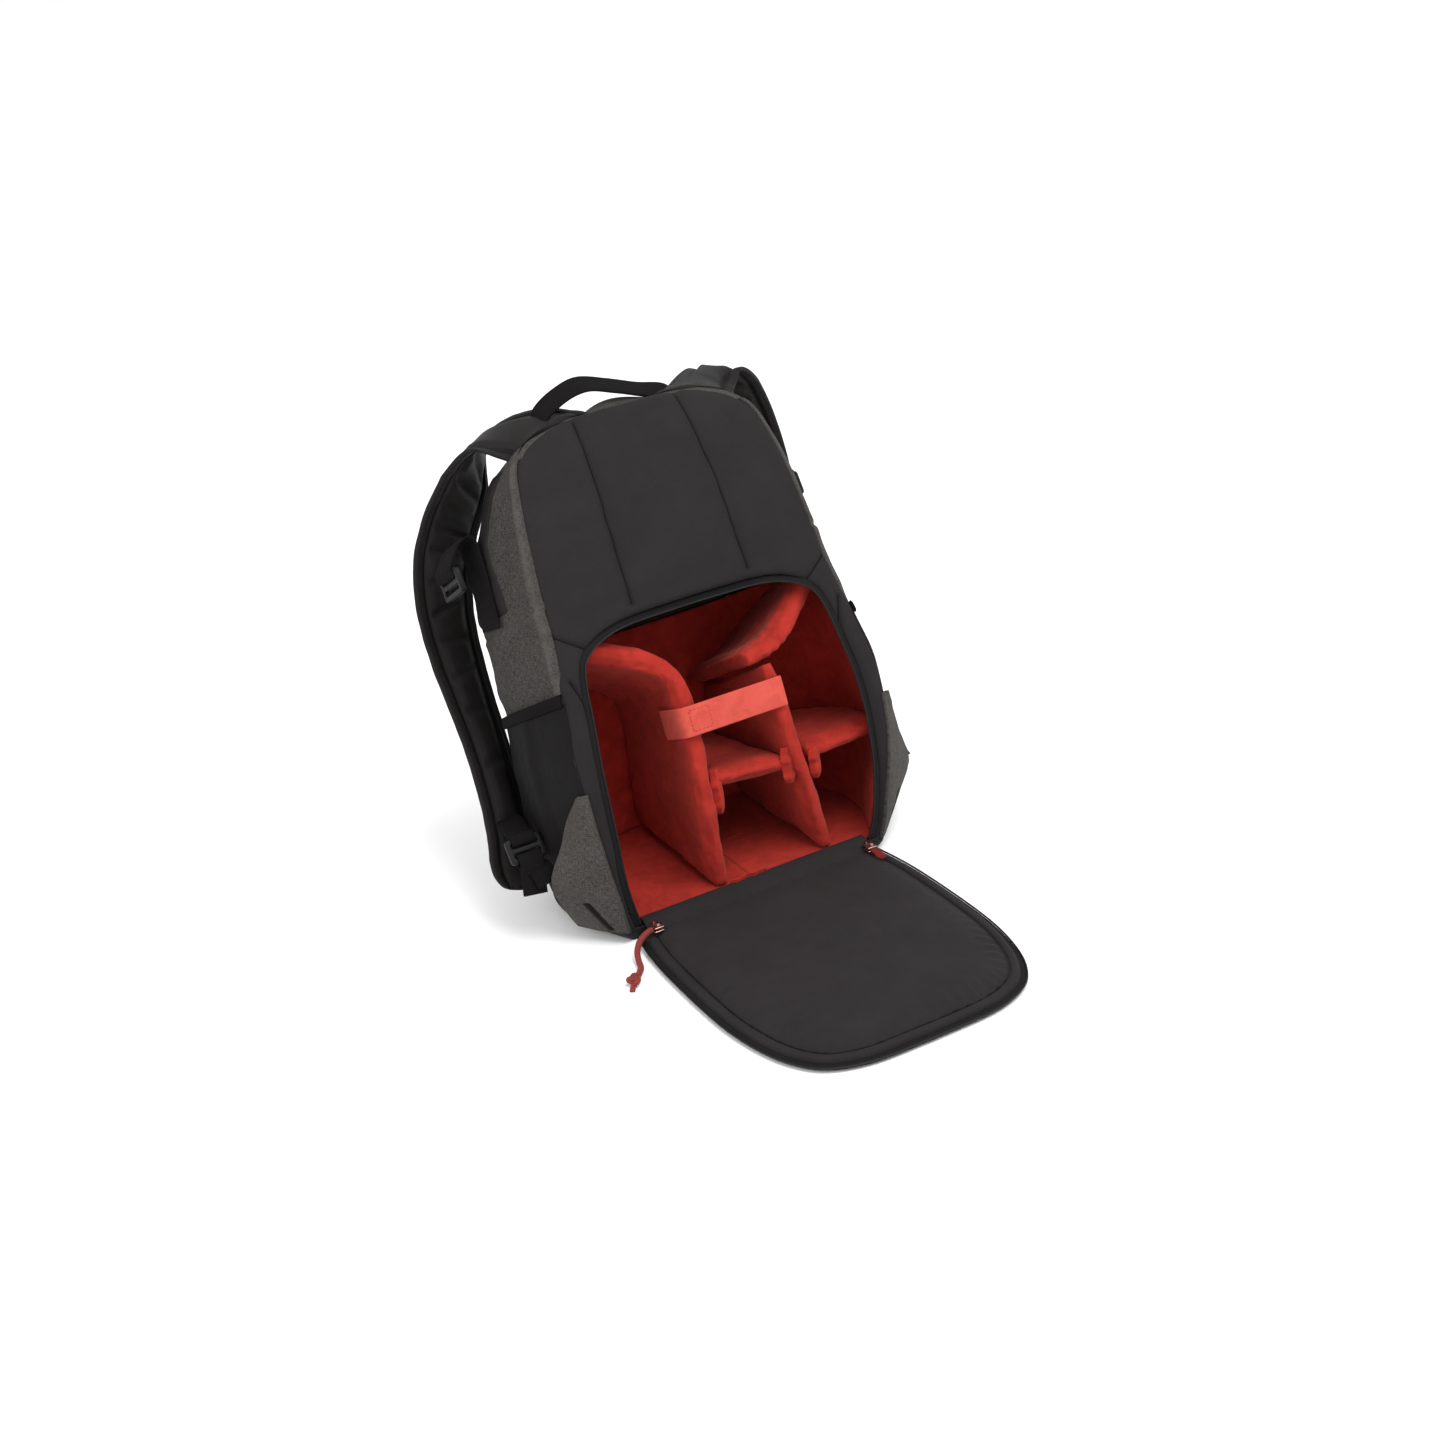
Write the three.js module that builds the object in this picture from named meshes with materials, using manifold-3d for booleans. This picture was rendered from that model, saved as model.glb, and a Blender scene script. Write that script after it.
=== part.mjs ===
// A backpack with padded dividers, standing on its base with the access flap of its back panel open
// on the floor. Millimetres, +Z up. The wearer's side faces -Y and the middle plane is X = 0. The
// origin is the middle of the flat underside of the base.
//
// The bag is soft and leans back on itself. Each piece is shaped in bag coordinates: across (left and
// right), deep (from the back panel into the bag) and up (along the back panel). slump() then carries
// a point of the straight bag to where it is in the leaning one.
import * as THREE from 'three';
import { mergeVertices } from 'three/addons/utils/BufferGeometryUtils.js';
import Module from 'manifold-3d';

const wasm = await Module();
wasm.setup();

// Driving sizes of the bag.
const HEIGHT = 380;
const HALF_WIDTH = 136;
const DEPTH = 166;
const LEAN_BACK = 139;
const TILT = 36;
const FLARE = 25;
const CROWN = 6;

// Padded walls, the cloth layers on them and the clearances between pieces.
const BACK_PAD = 10;
const SIDE_PAD = 7;
const BASE_PAD = 8;
const BASE_RISE = 12;
const LINING = 3;
const SHELF_PAD = 8;
const CLOTH = 2.4;
const SEAM = 0.6;
const GAP = 0.35;

// The access opening and the flap that closes it.
const OPENING_HALF = 120;
const OPENING_TOP = 245;
const FLAP_LENGTH = 258;
const FLAP_EDGE = 9;
const FLAP_CROWN = 17;
const ZIP_WIDTH = 6;
const ZIP_THICK = 2.6;

// The compartment, its dividers and the strap between them.
const BAY_TOP = 249;
const DIVIDER = 14;
const DIVIDER_FRONT = BACK_PAD + SEAM;
const DIVIDER_STRAP_WIDTH = 24;
const DIVIDER_STRAP_UP = 162;
const SHELF_UP = 104;

// Outside cloth: pockets and the corner wings.
const HEM_UP = 200;
const HEM_WIDTH = 9;
const WING_UP = 136;
const WING_REACH = 36;
const WING_STAND = { left: 17, right: 23 };
const WING_OFF = 0.8;
const WING_PAD = 3;

// Straps and webbing.
const STRAP_WIDTH = 64;
const STRAP_PAD = 14;
const STRAP_BORDER = 5;
const HANDLE_WIDTH = 20;
const WEBBING = 2.2;
const ADJUST_WIDTH = 20;
const SIDE_STRAP_WIDTH = 26;
const BUCKLE_FRAME = 4;
const BUCKLE_THICK = 4.5;
const CORD = 5;

// One row for each section of the bag. up is a share of HEIGHT, back of LEAN_BACK, tilt of TILT, deep
// of DEPTH, wide of HALF_WIDTH, and flare of FLARE on the left and right on the right, because the bag
// sags to its left. square is how boxy the section's far corners are.
const SECTIONS = [
  { up: 0.0, back: 0.0, tilt: 0.0, deep: 0.9, wide: 0.84, flare: 0.92, right: 0.92, square: 4 },
  { up: 0.026, back: -0.03, tilt: 0.0, deep: 0.96, wide: 0.875, flare: 0.98, right: 0.98, square: 4 },
  { up: 0.105, back: -0.05, tilt: 0.06, deep: 1.0, wide: 0.915, flare: 1.0, right: 1.0, square: 4 },
  { up: 0.21, back: -0.05, tilt: 0.2, deep: 1.0, wide: 0.965, flare: 1.0, right: 1.0, square: 4 },
  { up: 0.316, back: -0.015, tilt: 0.39, deep: 0.99, wide: 0.995, flare: 0.94, right: 0.94, square: 3.8 },
  { up: 0.421, back: 0.065, tilt: 0.61, deep: 0.96, wide: 1.0, flare: 0.94, right: 0.88, square: 3.6 },
  { up: 0.526, back: 0.195, tilt: 0.78, deep: 0.92, wide: 0.957, flare: 1.1, right: 0.84, square: 3.4 },
  { up: 0.632, back: 0.355, tilt: 0.86, deep: 0.86, wide: 0.9, flare: 1.28, right: 0.8, square: 3.2 },
  { up: 0.737, back: 0.505, tilt: 0.89, deep: 0.78, wide: 0.875, flare: 1.36, right: 0.72, square: 3 },
  { up: 0.829, back: 0.635, tilt: 0.92, deep: 0.68, wide: 0.845, flare: 1.24, right: 0.58, square: 2.8 },
  { up: 0.895, back: 0.745, tilt: 0.94, deep: 0.58, wide: 0.81, flare: 0.96, right: 0.4, square: 2.6 },
  { up: 0.945, back: 0.845, tilt: 0.97, deep: 0.47, wide: 0.765, flare: 0.74, right: 0.25, square: 2.4 },
  { up: 0.975, back: 0.925, tilt: 1.0, deep: 0.36, wide: 0.67, flare: 0.46, right: 0.12, square: 2.2 },
  { up: 0.992, back: 0.975, tilt: 1.0, deep: 0.27, wide: 0.53, flare: 0.2, right: 0.0, square: 2 },
  { up: 1.0, back: 1.0, tilt: 1.0, deep: 0.22, wide: 0.42, flare: 0.0, right: 0.0, square: 2 },
];

// The heights that the body's pieces share, so that seams meet point to point.
const LEVELS = [0, 0.026, 0.085, 0.145, 0.21, 0.263, 0.316, 0.368, 0.421, 0.474, 0.526, 0.579, 0.632,
  0.684, 0.737, 0.783, 0.829, 0.862, 0.895, 0.922, 0.945, 0.96, 0.975, 0.985, 0.992, 1];

// The places round half a section that the pieces share, from the back panel's seam to the middle of
// the far side: the first eight lie on the side panel, the eighth on its seam with the front panel.
const TURNS = [0, 0.1, 0.2, 0.3, 0.38, 0.45, 0.52, 0.6, 0.68, 0.76, 0.84, 0.92, 1];
const FRONT_STEP = 7;

// Half the rim of the opening and of the flap: up is a share of the way from the hinge to the top,
// wide and flap are shares of OPENING_HALF. The flap is rounder at its corners.
const RIM = [
  { up: 0, wide: 0.915, flap: 0.93 },
  { up: 0.1, wide: 0.96, flap: 0.965 },
  { up: 0.22, wide: 0.99, flap: 0.99 },
  { up: 0.37, wide: 1, flap: 1 },
  { up: 0.52, wide: 1, flap: 1 },
  { up: 0.64, wide: 0.985, flap: 0.985 },
  { up: 0.75, wide: 0.955, flap: 0.945 },
  { up: 0.84, wide: 0.93, flap: 0.885 },
  { up: 0.91, wide: 0.885, flap: 0.8 },
  { up: 0.95, wide: 0.8, flap: 0.71 },
  { up: 0.98, wide: 0.66, flap: 0.57 },
  { up: 0.996, wide: 0.47, flap: 0.4 },
  { up: 1, wide: 0.15, flap: 0.13 },
];

// The lower corner wing, from its point on the back panel's seam down to the base. up is a share of
// WING_UP, reach of WING_REACH and stand, how far it stands off the side, of WING_STAND.
const WING = [
  { up: 1, reach: 0.08, stand: 0 },
  { up: 0.86, reach: 0.45, stand: 0.12 },
  { up: 0.7, reach: 0.68, stand: 0.34 },
  { up: 0.56, reach: 0.86, stand: 0.68 },
  { up: 0.47, reach: 0.92, stand: 0.92 },
  { up: 0.39, reach: 0.94, stand: 1 },
  { up: 0.28, reach: 0.96, stand: 0.86 },
  { up: 0.15, reach: 0.98, stand: 0.56 },
  { up: 0.08, reach: 1, stand: 0.36 },
];

// The padded part of a shoulder strap, from the top seam round to its lower end. out is a share of
// HALF_WIDTH, deep of DEPTH, up of HEIGHT, wide of STRAP_WIDTH and puff of STRAP_PAD; its face looks
// lift degrees up and turn degrees away from the middle.
const STRAP = [
  { out: 0.456, deep: 0.03, up: 0.992, wide: 1.1, lift: 59, turn: -11, puff: 0.4 },
  { out: 0.5, deep: 0.075, up: 1, wide: 1.1, lift: 66, turn: -60, puff: 0.8 },
  { out: 0.6, deep: 0.15, up: 1.01, wide: 1.08, lift: 52, turn: -104, puff: 1 },
  { out: 0.755, deep: 0.26, up: 1.006, wide: 1.05, lift: 38, turn: -125, puff: 1 },
  { out: 0.895, deep: 0.375, up: 0.972, wide: 1.03, lift: 17, turn: -155, puff: 1 },
  { out: 1.02, deep: 0.51, up: 0.926, wide: 1, lift: 9, turn: -162, puff: 1 },
  { out: 1.105, deep: 0.61, up: 0.863, wide: 1, lift: -3, turn: -160, puff: 1 },
  { out: 1.145, deep: 0.675, up: 0.79, wide: 0.97, lift: -5, turn: -160, puff: 1 },
  { out: 1.155, deep: 0.717, up: 0.713, wide: 0.9, lift: -5, turn: -160, puff: 1 },
  { out: 1.15, deep: 0.735, up: 0.624, wide: 0.84, lift: -5, turn: -160, puff: 1 },
  { out: 1.145, deep: 0.74, up: 0.53, wide: 0.8, lift: -6, turn: -161, puff: 1 },
  { out: 1.155, deep: 0.705, up: 0.405, wide: 0.8, lift: -9, turn: -163, puff: 1 },
  { out: 1.185, deep: 0.62, up: 0.27, wide: 0.8, lift: -14, turn: -165, puff: 1 },
  { out: 1.24, deep: 0.525, up: 0.175, wide: 0.76, lift: -20, turn: -167, puff: 0.85 },
  { out: 1.3, deep: 0.465, up: 0.108, wide: 0.56, lift: -24, turn: -168, puff: 0.4 },
];

const FABRIC = { roughness: 0.9, metalness: 0 };
const BLACK = new THREE.MeshStandardMaterial({ color: 0x2c2a2b, ...FABRIC });
const GREY = new THREE.MeshStandardMaterial({ color: 0x4b4a46, ...FABRIC });
const RED = new THREE.MeshStandardMaterial({ color: 0xb03226, ...FABRIC });
const LIGHT_RED = new THREE.MeshStandardMaterial({ color: 0xd8554a, ...FABRIC });
const WEBBING_BLACK = new THREE.MeshStandardMaterial({ color: 0x232122, ...FABRIC });
const PLASTIC = new THREE.MeshStandardMaterial({ color: 0x1c1c1c, roughness: 0.45, metalness: 0 });
const METAL = new THREE.MeshStandardMaterial({ color: 0xb98f84, roughness: 0.35, metalness: 1 });

const bag = new THREE.Group();

function put(name, geometry, material) {
  const mesh = new THREE.Mesh(geometry, material);
  mesh.name = name;
  bag.add(mesh);
}

// A smooth curve through one column of a table, without overshoot, and straight past its ends.
function column(table, name) {
  const ups = table.map((row) => row.up);
  const values = table.map((row) => row[name]);
  const last = ups.length - 1;
  const rises = values.slice(1).map((value, i) => (value - values[i]) / (ups[i + 1] - ups[i]));
  const slopes = values.map((value, i) => {
    if (i === 0) return rises[0];
    if (i === last) return rises[last - 1];
    const [before, after] = [rises[i - 1], rises[i]];
    return before * after > 0 ? 2 * before * after / (before + after) : 0;
  });
  return (up) => {
    if (up <= ups[0]) return values[0] + slopes[0] * (up - ups[0]);
    if (up >= ups[last]) return values[last] + slopes[last] * (up - ups[last]);
    const i = ups.findIndex((value) => value > up) - 1;
    const span = ups[i + 1] - ups[i];
    const t = (up - ups[i]) / span;
    const ease = t * t * (3 - 2 * t);
    return values[i] * (1 - ease) + values[i + 1] * ease
      + span * t * (1 - t) * ((1 - t) * slopes[i] - t * slopes[i + 1]);
  };
}

const backAt = column(SECTIONS, 'back');
const tiltAt = column(SECTIONS, 'tilt');
const deepAt = column(SECTIONS, 'deep');
const wideAt = column(SECTIONS, 'wide');
const flareAt = column(SECTIONS, 'flare');
const flareRightAt = column(SECTIONS, 'right');
const squareAt = column(SECTIONS, 'square');
const NEAR_EDGE = -DEPTH * SECTIONS[0].deep / 2;

function slump(across, deep, up) {
  const share = up / HEIGHT;
  const tilt = THREE.MathUtils.degToRad(TILT * THREE.MathUtils.clamp(tiltAt(share), 0, 1));
  const near = NEAR_EDGE + LEAN_BACK * backAt(share);
  return new THREE.Vector3(across, near + deep * Math.cos(tilt), up - deep * Math.sin(tilt));
}

// The section of the bag at one height, drawn in by inset, on its left (side -1) or its right (side 1).
// turn goes from 0 at the back panel to 1 in the middle of the far side.
function flank(side, turn, up, inset) {
  const share = up / HEIGHT;
  const square = squareAt(share);
  const [out, way] = [Math.cos(turn * Math.PI / 2), Math.sin(turn * Math.PI / 2)];
  const reach = (out ** square + way ** square) ** (-1 / square);
  const flare = side < 0 ? flareAt(share) : flareRightAt(share);
  const bulge = FLARE * flare * Math.sin(Math.PI * Math.min(way * reach, 1));
  return [(HALF_WIDTH * wideAt(share) - inset) * out * reach + bulge,
    (DEPTH * deepAt(share) - inset) * way * reach];
}

// The turn at which the section reaches a depth.
function turnAt(deep, up, inset) {
  const share = up / HEIGHT;
  const square = squareAt(share);
  const way = THREE.MathUtils.clamp(deep / (DEPTH * deepAt(share) - inset), 0, 1);
  return Math.atan2(way, (1 - way ** square) ** (1 / square)) * 2 / Math.PI;
}

// A wall meets the back panel in a mitre.
const mitred = (inset) => SEAM + inset * BACK_PAD / SIDE_PAD;

// The back panel bulges towards the wearer, but not at the hinge, where the base holds it straight.
function crownAt(share, up) {
  return CROWN * (1 - share * share) * THREE.MathUtils.smoothstep(up, BASE_RISE, 5 * BASE_RISE);
}

// The shared heights between two heights, with both ends.
function levels(from, to) {
  const inside = LEVELS.map((level) => level * HEIGHT).filter((up) => up > from + 1 && up < to - 1);
  return [from, ...inside, to];
}

// One closed skin with its faces outward.
function skin(geometry) {
  geometry.deleteAttribute('normal');
  geometry.deleteAttribute('uv');
  const merged = mergeVertices(geometry, 1e-4);
  const { position } = merged.attributes;
  const index = merged.index.array;
  const corner = [new THREE.Vector3(), new THREE.Vector3(), new THREE.Vector3()];
  let volume = 0;
  for (let i = 0; i < index.length; i += 3) {
    corner.forEach((point, k) => point.fromBufferAttribute(position, index[i + k]));
    volume += corner[0].dot(corner[1].cross(corner[2]));
  }
  if (volume < 0) {
    for (let i = 0; i < index.length; i += 3) [index[i], index[i + 1]] = [index[i + 1], index[i]];
  }
  merged.computeVertexNormals();
  return merged;
}

function moved(geometry, place) {
  const { position } = geometry.attributes;
  const point = new THREE.Vector3();
  for (let i = 0; i < position.count; i += 1) {
    point.fromBufferAttribute(position, i);
    const { x, y, z } = place(point);
    position.setXYZ(i, x, y, z);
  }
  return skin(geometry);
}

// A block whose three directions, each from 0 to 1, are placed by a function.
function block(steps, place) {
  const geometry = new THREE.BoxGeometry(1, 1, 1, ...steps);
  return moved(geometry, ({ x, y, z }) => place(x + 0.5, y + 0.5, z + 0.5));
}

// A layer of the bag's wall over the shared places from one step to another, on the left (side -1) or
// the right (side 1). outer and inner give its two faces.
function wall({ side, ups, from, to, outer, inner }) {
  return block([to - from, ups.length - 1, 1], (u, v, w) => {
    const up = ups[Math.round(v * (ups.length - 1))];
    const step = from + Math.round(u * (to - from));
    const inset = THREE.MathUtils.lerp(outer(up), inner(up), w);
    const turn = step === 0 ? turnAt(mitred(inset), up, inset) : TURNS[step] - (step === to ? SEAM_TURN : 0);
    const [across, deep] = flank(side, turn, up, inset);
    return slump(side * across, step === 0 ? mitred(inset) : deep, up);
  });
}

// A closed loft of the whole section, in bag coordinates, from the depth near onwards.
const NEAR_STEPS = 4;
const LAST_TURN = TURNS.length - 1;
const AROUND = 2 * LAST_TURN + NEAR_STEPS;

function loftPoint(step, up, inset, near) {
  const fold = Math.min(step, AROUND - step);
  const side = step <= AROUND / 2 ? 1 : -1;
  if (fold < NEAR_STEPS / 2) {
    const share = fold / (NEAR_STEPS / 2);
    const [across] = flank(side, turnAt(near, up, inset), up, inset);
    return new THREE.Vector3(side * share * across, near - (near > 0 ? 0 : crownAt(share, up)), up);
  }
  const place = fold - NEAR_STEPS / 2;
  const turn = place === 0 ? turnAt(near, up, inset) : TURNS[place];
  const [across, deep] = flank(side, turn, up, inset);
  return new THREE.Vector3(side * (place === LAST_TURN ? 0 : across), place === 0 ? near : deep, up);
}

function loft(ups, inset, near) {
  const geometry = new THREE.CylinderGeometry(1, 1, 1, AROUND, ups.length - 1);
  return moved(geometry, ({ x, y, z }) => {
    const up = ups[Math.round((y + 0.5) * (ups.length - 1))];
    if (Math.hypot(x, z) < 0.5) return new THREE.Vector3(0, DEPTH * deepAt(up / HEIGHT) / 2, up);
    const step = Math.round(Math.atan2(x, z) / (2 * Math.PI) * AROUND + AROUND) % AROUND;
    return loftPoint(step, up, inset, near);
  });
}

function manifold(geometry) {
  return new wasm.Manifold(new wasm.Mesh({
    numProp: 3,
    vertProperties: new Float32Array(geometry.attributes.position.array),
    triVerts: new Uint32Array(geometry.index.array),
  }));
}

// The cut solid, carried from the straight bag to the leaning one.
function slumped(solid) {
  const { vertProperties, triVerts } = solid.getMesh();
  const geometry = new THREE.BufferGeometry();
  geometry.setAttribute('position', new THREE.BufferAttribute(new Float32Array(vertProperties), 3));
  geometry.setIndex(new THREE.BufferAttribute(new Uint32Array(triVerts), 1));
  return moved(geometry, ({ x, y, z }) => slump(x, y, z));
}

// A rim as a row of points, [across, share of the way up], from left to right.
function rimPoints(name) {
  const half = RIM.map((row) => [row[name] * OPENING_HALF, row.up]);
  return [...half.map(([across, up]) => [-across, up]), ...half.toReversed()];
}

const OPENING_RIM = rimPoints('wide');
const FLAP_RIM = rimPoints('flap');
const LAST_RIM = FLAP_RIM.length - 1;
const openingUp = (share) => THREE.MathUtils.lerp(BASE_RISE, OPENING_TOP, share);

// Back panel: padded, with the opening cut through it down to the base.
function backBlock(ups, outer, inner, grow) {
  const mitre = SIDE_PAD / BACK_PAD;
  return block([12, ups.length - 1, 1], (u, v, w) => {
    const up = ups[Math.round(v * (ups.length - 1))];
    const share = 2 * u - 1;
    const face = outer === 0 ? -crownAt(share, up) : outer;
    const deep = THREE.MathUtils.lerp(face, inner, w);
    const reach = THREE.MathUtils.lerp(outer, inner, w) - grow;
    return new THREE.Vector3(share * (HALF_WIDTH * wideAt(up / HEIGHT) - mitre * reach), deep, up);
  });
}

function openingCutter() {
  const below = BASE_RISE / 2;
  const shape = new THREE.Shape();
  shape.moveTo(OPENING_RIM[0][0], below);
  OPENING_RIM.forEach(([across, share]) => shape.lineTo(across, openingUp(share)));
  shape.lineTo(OPENING_RIM[LAST_RIM][0], below);
  const reach = 3 * BACK_PAD;
  const geometry = new THREE.ExtrudeGeometry(shape, { depth: 2 * reach, bevelEnabled: false });
  return manifold(moved(geometry, ({ x, y, z }) => new THREE.Vector3(x, z - reach, y)));
}

const bodyLow = BASE_RISE + GAP;
const backPanel = manifold(backBlock(levels(bodyLow, HEIGHT), 0, BACK_PAD, 0));
put('back_panel', slumped(backPanel.subtract(openingCutter())), BLACK);

// Sides and far side: under the pockets the side cloth lies one layer further in.
const SEAM_TURN = 0.002;
const underPocket = (up) => (up < HEM_UP + 3 * HEM_WIDTH ? CLOTH + GAP : 0);
const topLow = HEIGHT * LEVELS.at(-5);
const bodyUps = levels(bodyLow, topLow - GAP);
const SIDES = [['left', -1], ['right', 1]];

for (const [name, side] of SIDES) {
  put(`side_panel_${name}`, wall({
    side,
    ups: bodyUps,
    from: 0,
    to: FRONT_STEP,
    outer: underPocket,
    inner: () => SIDE_PAD,
  }), GREY);
}

const frontSteps = LAST_TURN - FRONT_STEP;
put('front_panel', block([2 * frontSteps, bodyUps.length - 1, 1], (u, v, w) => {
  const up = bodyUps[Math.round(v * (bodyUps.length - 1))];
  const step = Math.round((2 * u - 1) * frontSteps);
  const fold = LAST_TURN - Math.abs(step);
  const turn = TURNS[fold] + (fold === FRONT_STEP ? SEAM_TURN : 0);
  const [across, deep] = flank(Math.sign(step), turn, up, w * SIDE_PAD);
  return slump(Math.sign(step) * across, deep, up);
}), GREY);

// Top: a cap closed above, open towards the compartment and fitted round the back panel.
const topInside = levels(topLow - SIDE_PAD, HEIGHT - SIDE_PAD);
put('top_panel', slumped(
  manifold(loft(levels(topLow, HEIGHT), 0, SEAM))
    .subtract(manifold(loft(topInside, SIDE_PAD, SEAM)))
    .subtract(manifold(backBlock(levels(topLow - SIDE_PAD, HEIGHT + SIDE_PAD), -BACK_PAD, BACK_PAD + SEAM, SEAM))),
), GREY);

// Base: a shallow tray whose flat underside the bag stands on.
const recess = [BASE_PAD, BASE_RISE, BASE_RISE + BASE_PAD];
put('base_panel', slumped(
  manifold(loft([0, BASE_PAD, BASE_RISE], 0, SEAM))
    .subtract(manifold(loft(recess, BASE_PAD, BASE_PAD))),
), BLACK);

// Lining of the compartment: a red wall round its three sides, a floor and a padded ceiling.
const LINED = SIDE_PAD + GAP;
const liningUps = levels(bodyLow, BAY_TOP - GAP);
put('bay_lining', block([2 * LAST_TURN, liningUps.length - 1, 1], (u, v, w) => {
  const up = liningUps[Math.round(v * (liningUps.length - 1))];
  const step = Math.round((2 * u - 1) * LAST_TURN);
  const fold = LAST_TURN - Math.abs(step);
  const inset = LINED + w * LINING;
  const near = mitred(inset) + SEAM;
  const turn = fold === 0 ? turnAt(near, up, inset) : TURNS[fold];
  const [across, deep] = flank(Math.sign(step), turn, up, inset);
  return slump(step === 0 ? 0 : Math.sign(step) * across, fold === 0 ? near : deep, up);
}), RED);
const floorInset = BASE_PAD + GAP;
put('bay_floor', slumped(manifold(loft([floorInset, BASE_RISE], floorInset, floorInset))), RED);
const shelfUps = levels(BAY_TOP, BAY_TOP + SHELF_PAD);
put('bay_ceiling', slumped(manifold(loft(shelfUps, LINED + SEAM, DIVIDER_FRONT))), BLACK);

// The room inside the lining, which every divider is cut to fit.
const room = manifold(loft(levels(BASE_RISE + GAP, BAY_TOP - GAP), LINED + LINING + GAP, DIVIDER_FRONT));

// An upright padded wall along a path of [across, up] points, its front edge rounded.
const EDGE_ROUND = [
  { along: 0, half: 0.27 },
  { along: 0.12, half: 0.4 },
  { along: 0.42, half: 0.5 },
  { along: 2, half: 0.5 },
];

function upright(path, thick, front) {
  const curve = new THREE.CatmullRomCurve3(path.map(([across, up]) => new THREE.Vector3(across, 0, up)));
  return manifold(block([2 * path.length, 1, EDGE_ROUND.length], (u, v, w) => {
    const centre = curve.getPoint(u);
    const way = curve.getTangent(u);
    const { along, half } = EDGE_ROUND[Math.min(Math.round(w * EDGE_ROUND.length), EDGE_ROUND.length - 1)];
    const deep = w === 1 ? DEPTH : front + along * DIVIDER;
    const off = (2 * v - 1) * half * thick;
    return new THREE.Vector3(centre.x - way.z * off, deep, centre.z + way.x * off);
  }));
}

const INTO_WALL = HALF_WIDTH + FLARE;
const LEFT_PATH = [[-INTO_WALL, 254], [-105, 238], [-74, 225], [-45, 212], [-30, 194], [-28, 152],
  [-28, 100], [-27, 50], [-25, 0]];
const RIGHT_PATH = [[49, 186], [52, 150], [56, 110], [64, 60], [75, 0]];
const BRACE_PATH = [[INTO_WALL, 262], [110, 236], [84, 216], [60, 199], [30, 192]];
const SHELF_CENTRE = [[-40, SHELF_UP + 5], [12, SHELF_UP], [66, SHELF_UP - 7]];
const SHELF_RIGHT = [[46, SHELF_UP - 3], [100, SHELF_UP], [INTO_WALL, SHELF_UP + 4]];
const cleared = DIVIDER + 2 * GAP;
const besideLeft = upright(LEFT_PATH, cleared, 0);
const besideRight = upright(RIGHT_PATH, cleared, 0);

// Of what a cut leaves, the largest part.
function largest(solid) {
  return solid.decompose().reduce((a, b) => (a.volume() > b.volume() ? a : b));
}

put('divider_left', slumped(upright(LEFT_PATH, DIVIDER, DIVIDER_FRONT).intersect(room)), RED);
put('divider_right', slumped(upright(RIGHT_PATH, DIVIDER, DIVIDER_FRONT).intersect(room)), RED);
const brace = upright(BRACE_PATH, DIVIDER, DIVIDER_FRONT).intersect(room).subtract(besideRight);
put('divider_brace', slumped(largest(brace)), RED);
const shelfFront = DIVIDER_FRONT + DIVIDER / 2;
const shelfCentre = upright(SHELF_CENTRE, DIVIDER, shelfFront).intersect(room).subtract(besideLeft);
put('shelf_centre', slumped(largest(shelfCentre.subtract(besideRight))), RED);
const shelfRight = upright(SHELF_RIGHT, DIVIDER, shelfFront).intersect(room).subtract(besideRight);
put('shelf_right', slumped(largest(shelfRight)), RED);

// A flat band along a route. Its face looks where facing says; half and thick give its section.
function band({ route, facing, steps, strips, half, thick }) {
  const curve = new THREE.CatmullRomCurve3(route);
  return block([steps, strips, 1], (u, v, w) => {
    const centre = curve.getPoint(u);
    const way = curve.getTangent(u);
    const face = facing(u, way);
    face.addScaledVector(way, -face.dot(way)).normalize();
    const across = 2 * v - 1;
    return centre.addScaledVector(way.clone().cross(face), across * half(u))
      .addScaledVector(face, (w - 0.5) * thick(u, across));
  });
}

// Webbing along a route; across is the direction of its width.
function webbing(route, width, across) {
  return band({
    route,
    facing: (u, way) => way.clone().cross(across),
    steps: 2 * route.length,
    strips: 1,
    half: () => width / 2,
    thick: () => WEBBING,
  });
}

// The strap that ties the two long dividers together: sewn to the front edge of the right one and,
// turned round its edge, to the side of the left one.
const TIE = [
  { across: -38.6, deep: 46 },
  { across: -38.2, deep: 30 },
  { across: -38, deep: 17 },
  { across: -36, deep: 10.6 },
  { across: -30, deep: 8.6 },
  { across: -10, deep: 8.2 },
  { across: 20, deep: 8.2 },
  { across: 38, deep: 8.4 },
  { across: 53, deep: 8.6 },
];
const alongBack = slump(0, 0, DIVIDER_STRAP_UP + 1).sub(slump(0, 0, DIVIDER_STRAP_UP - 1)).normalize();
put('divider_strap', webbing(
  TIE.map(({ across, deep }) => slump(across, deep, DIVIDER_STRAP_UP)),
  DIVIDER_STRAP_WIDTH,
  alongBack,
), LIGHT_RED);

// Half a zip, flat along a rim, on its inside (way 1) or its outside (way -1).
function chain(rim, way) {
  return block([LAST_RIM, 1, 1], (u, v, w) => {
    const step = Math.round(u * LAST_RIM);
    const along = rim(Math.min(step + 1, LAST_RIM)).sub(rim(Math.max(step - 1, 0))).normalize();
    const inward = new THREE.Vector3(along.y, -along.x, 0);
    return rim(step).addScaledVector(inward, way * (GAP + v * ZIP_WIDTH)).setZ(w * ZIP_THICK);
  });
}

// Zip of the opening, along the inside of its rim.
const openingRim = (step) => new THREE.Vector3(OPENING_RIM[step][0], -openingUp(OPENING_RIM[step][1]), 0);
put('opening_zip', moved(chain(openingRim, -1), ({ x, y, z }) => slump(x, SEAM + z, -y)), WEBBING_BLACK);

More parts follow.
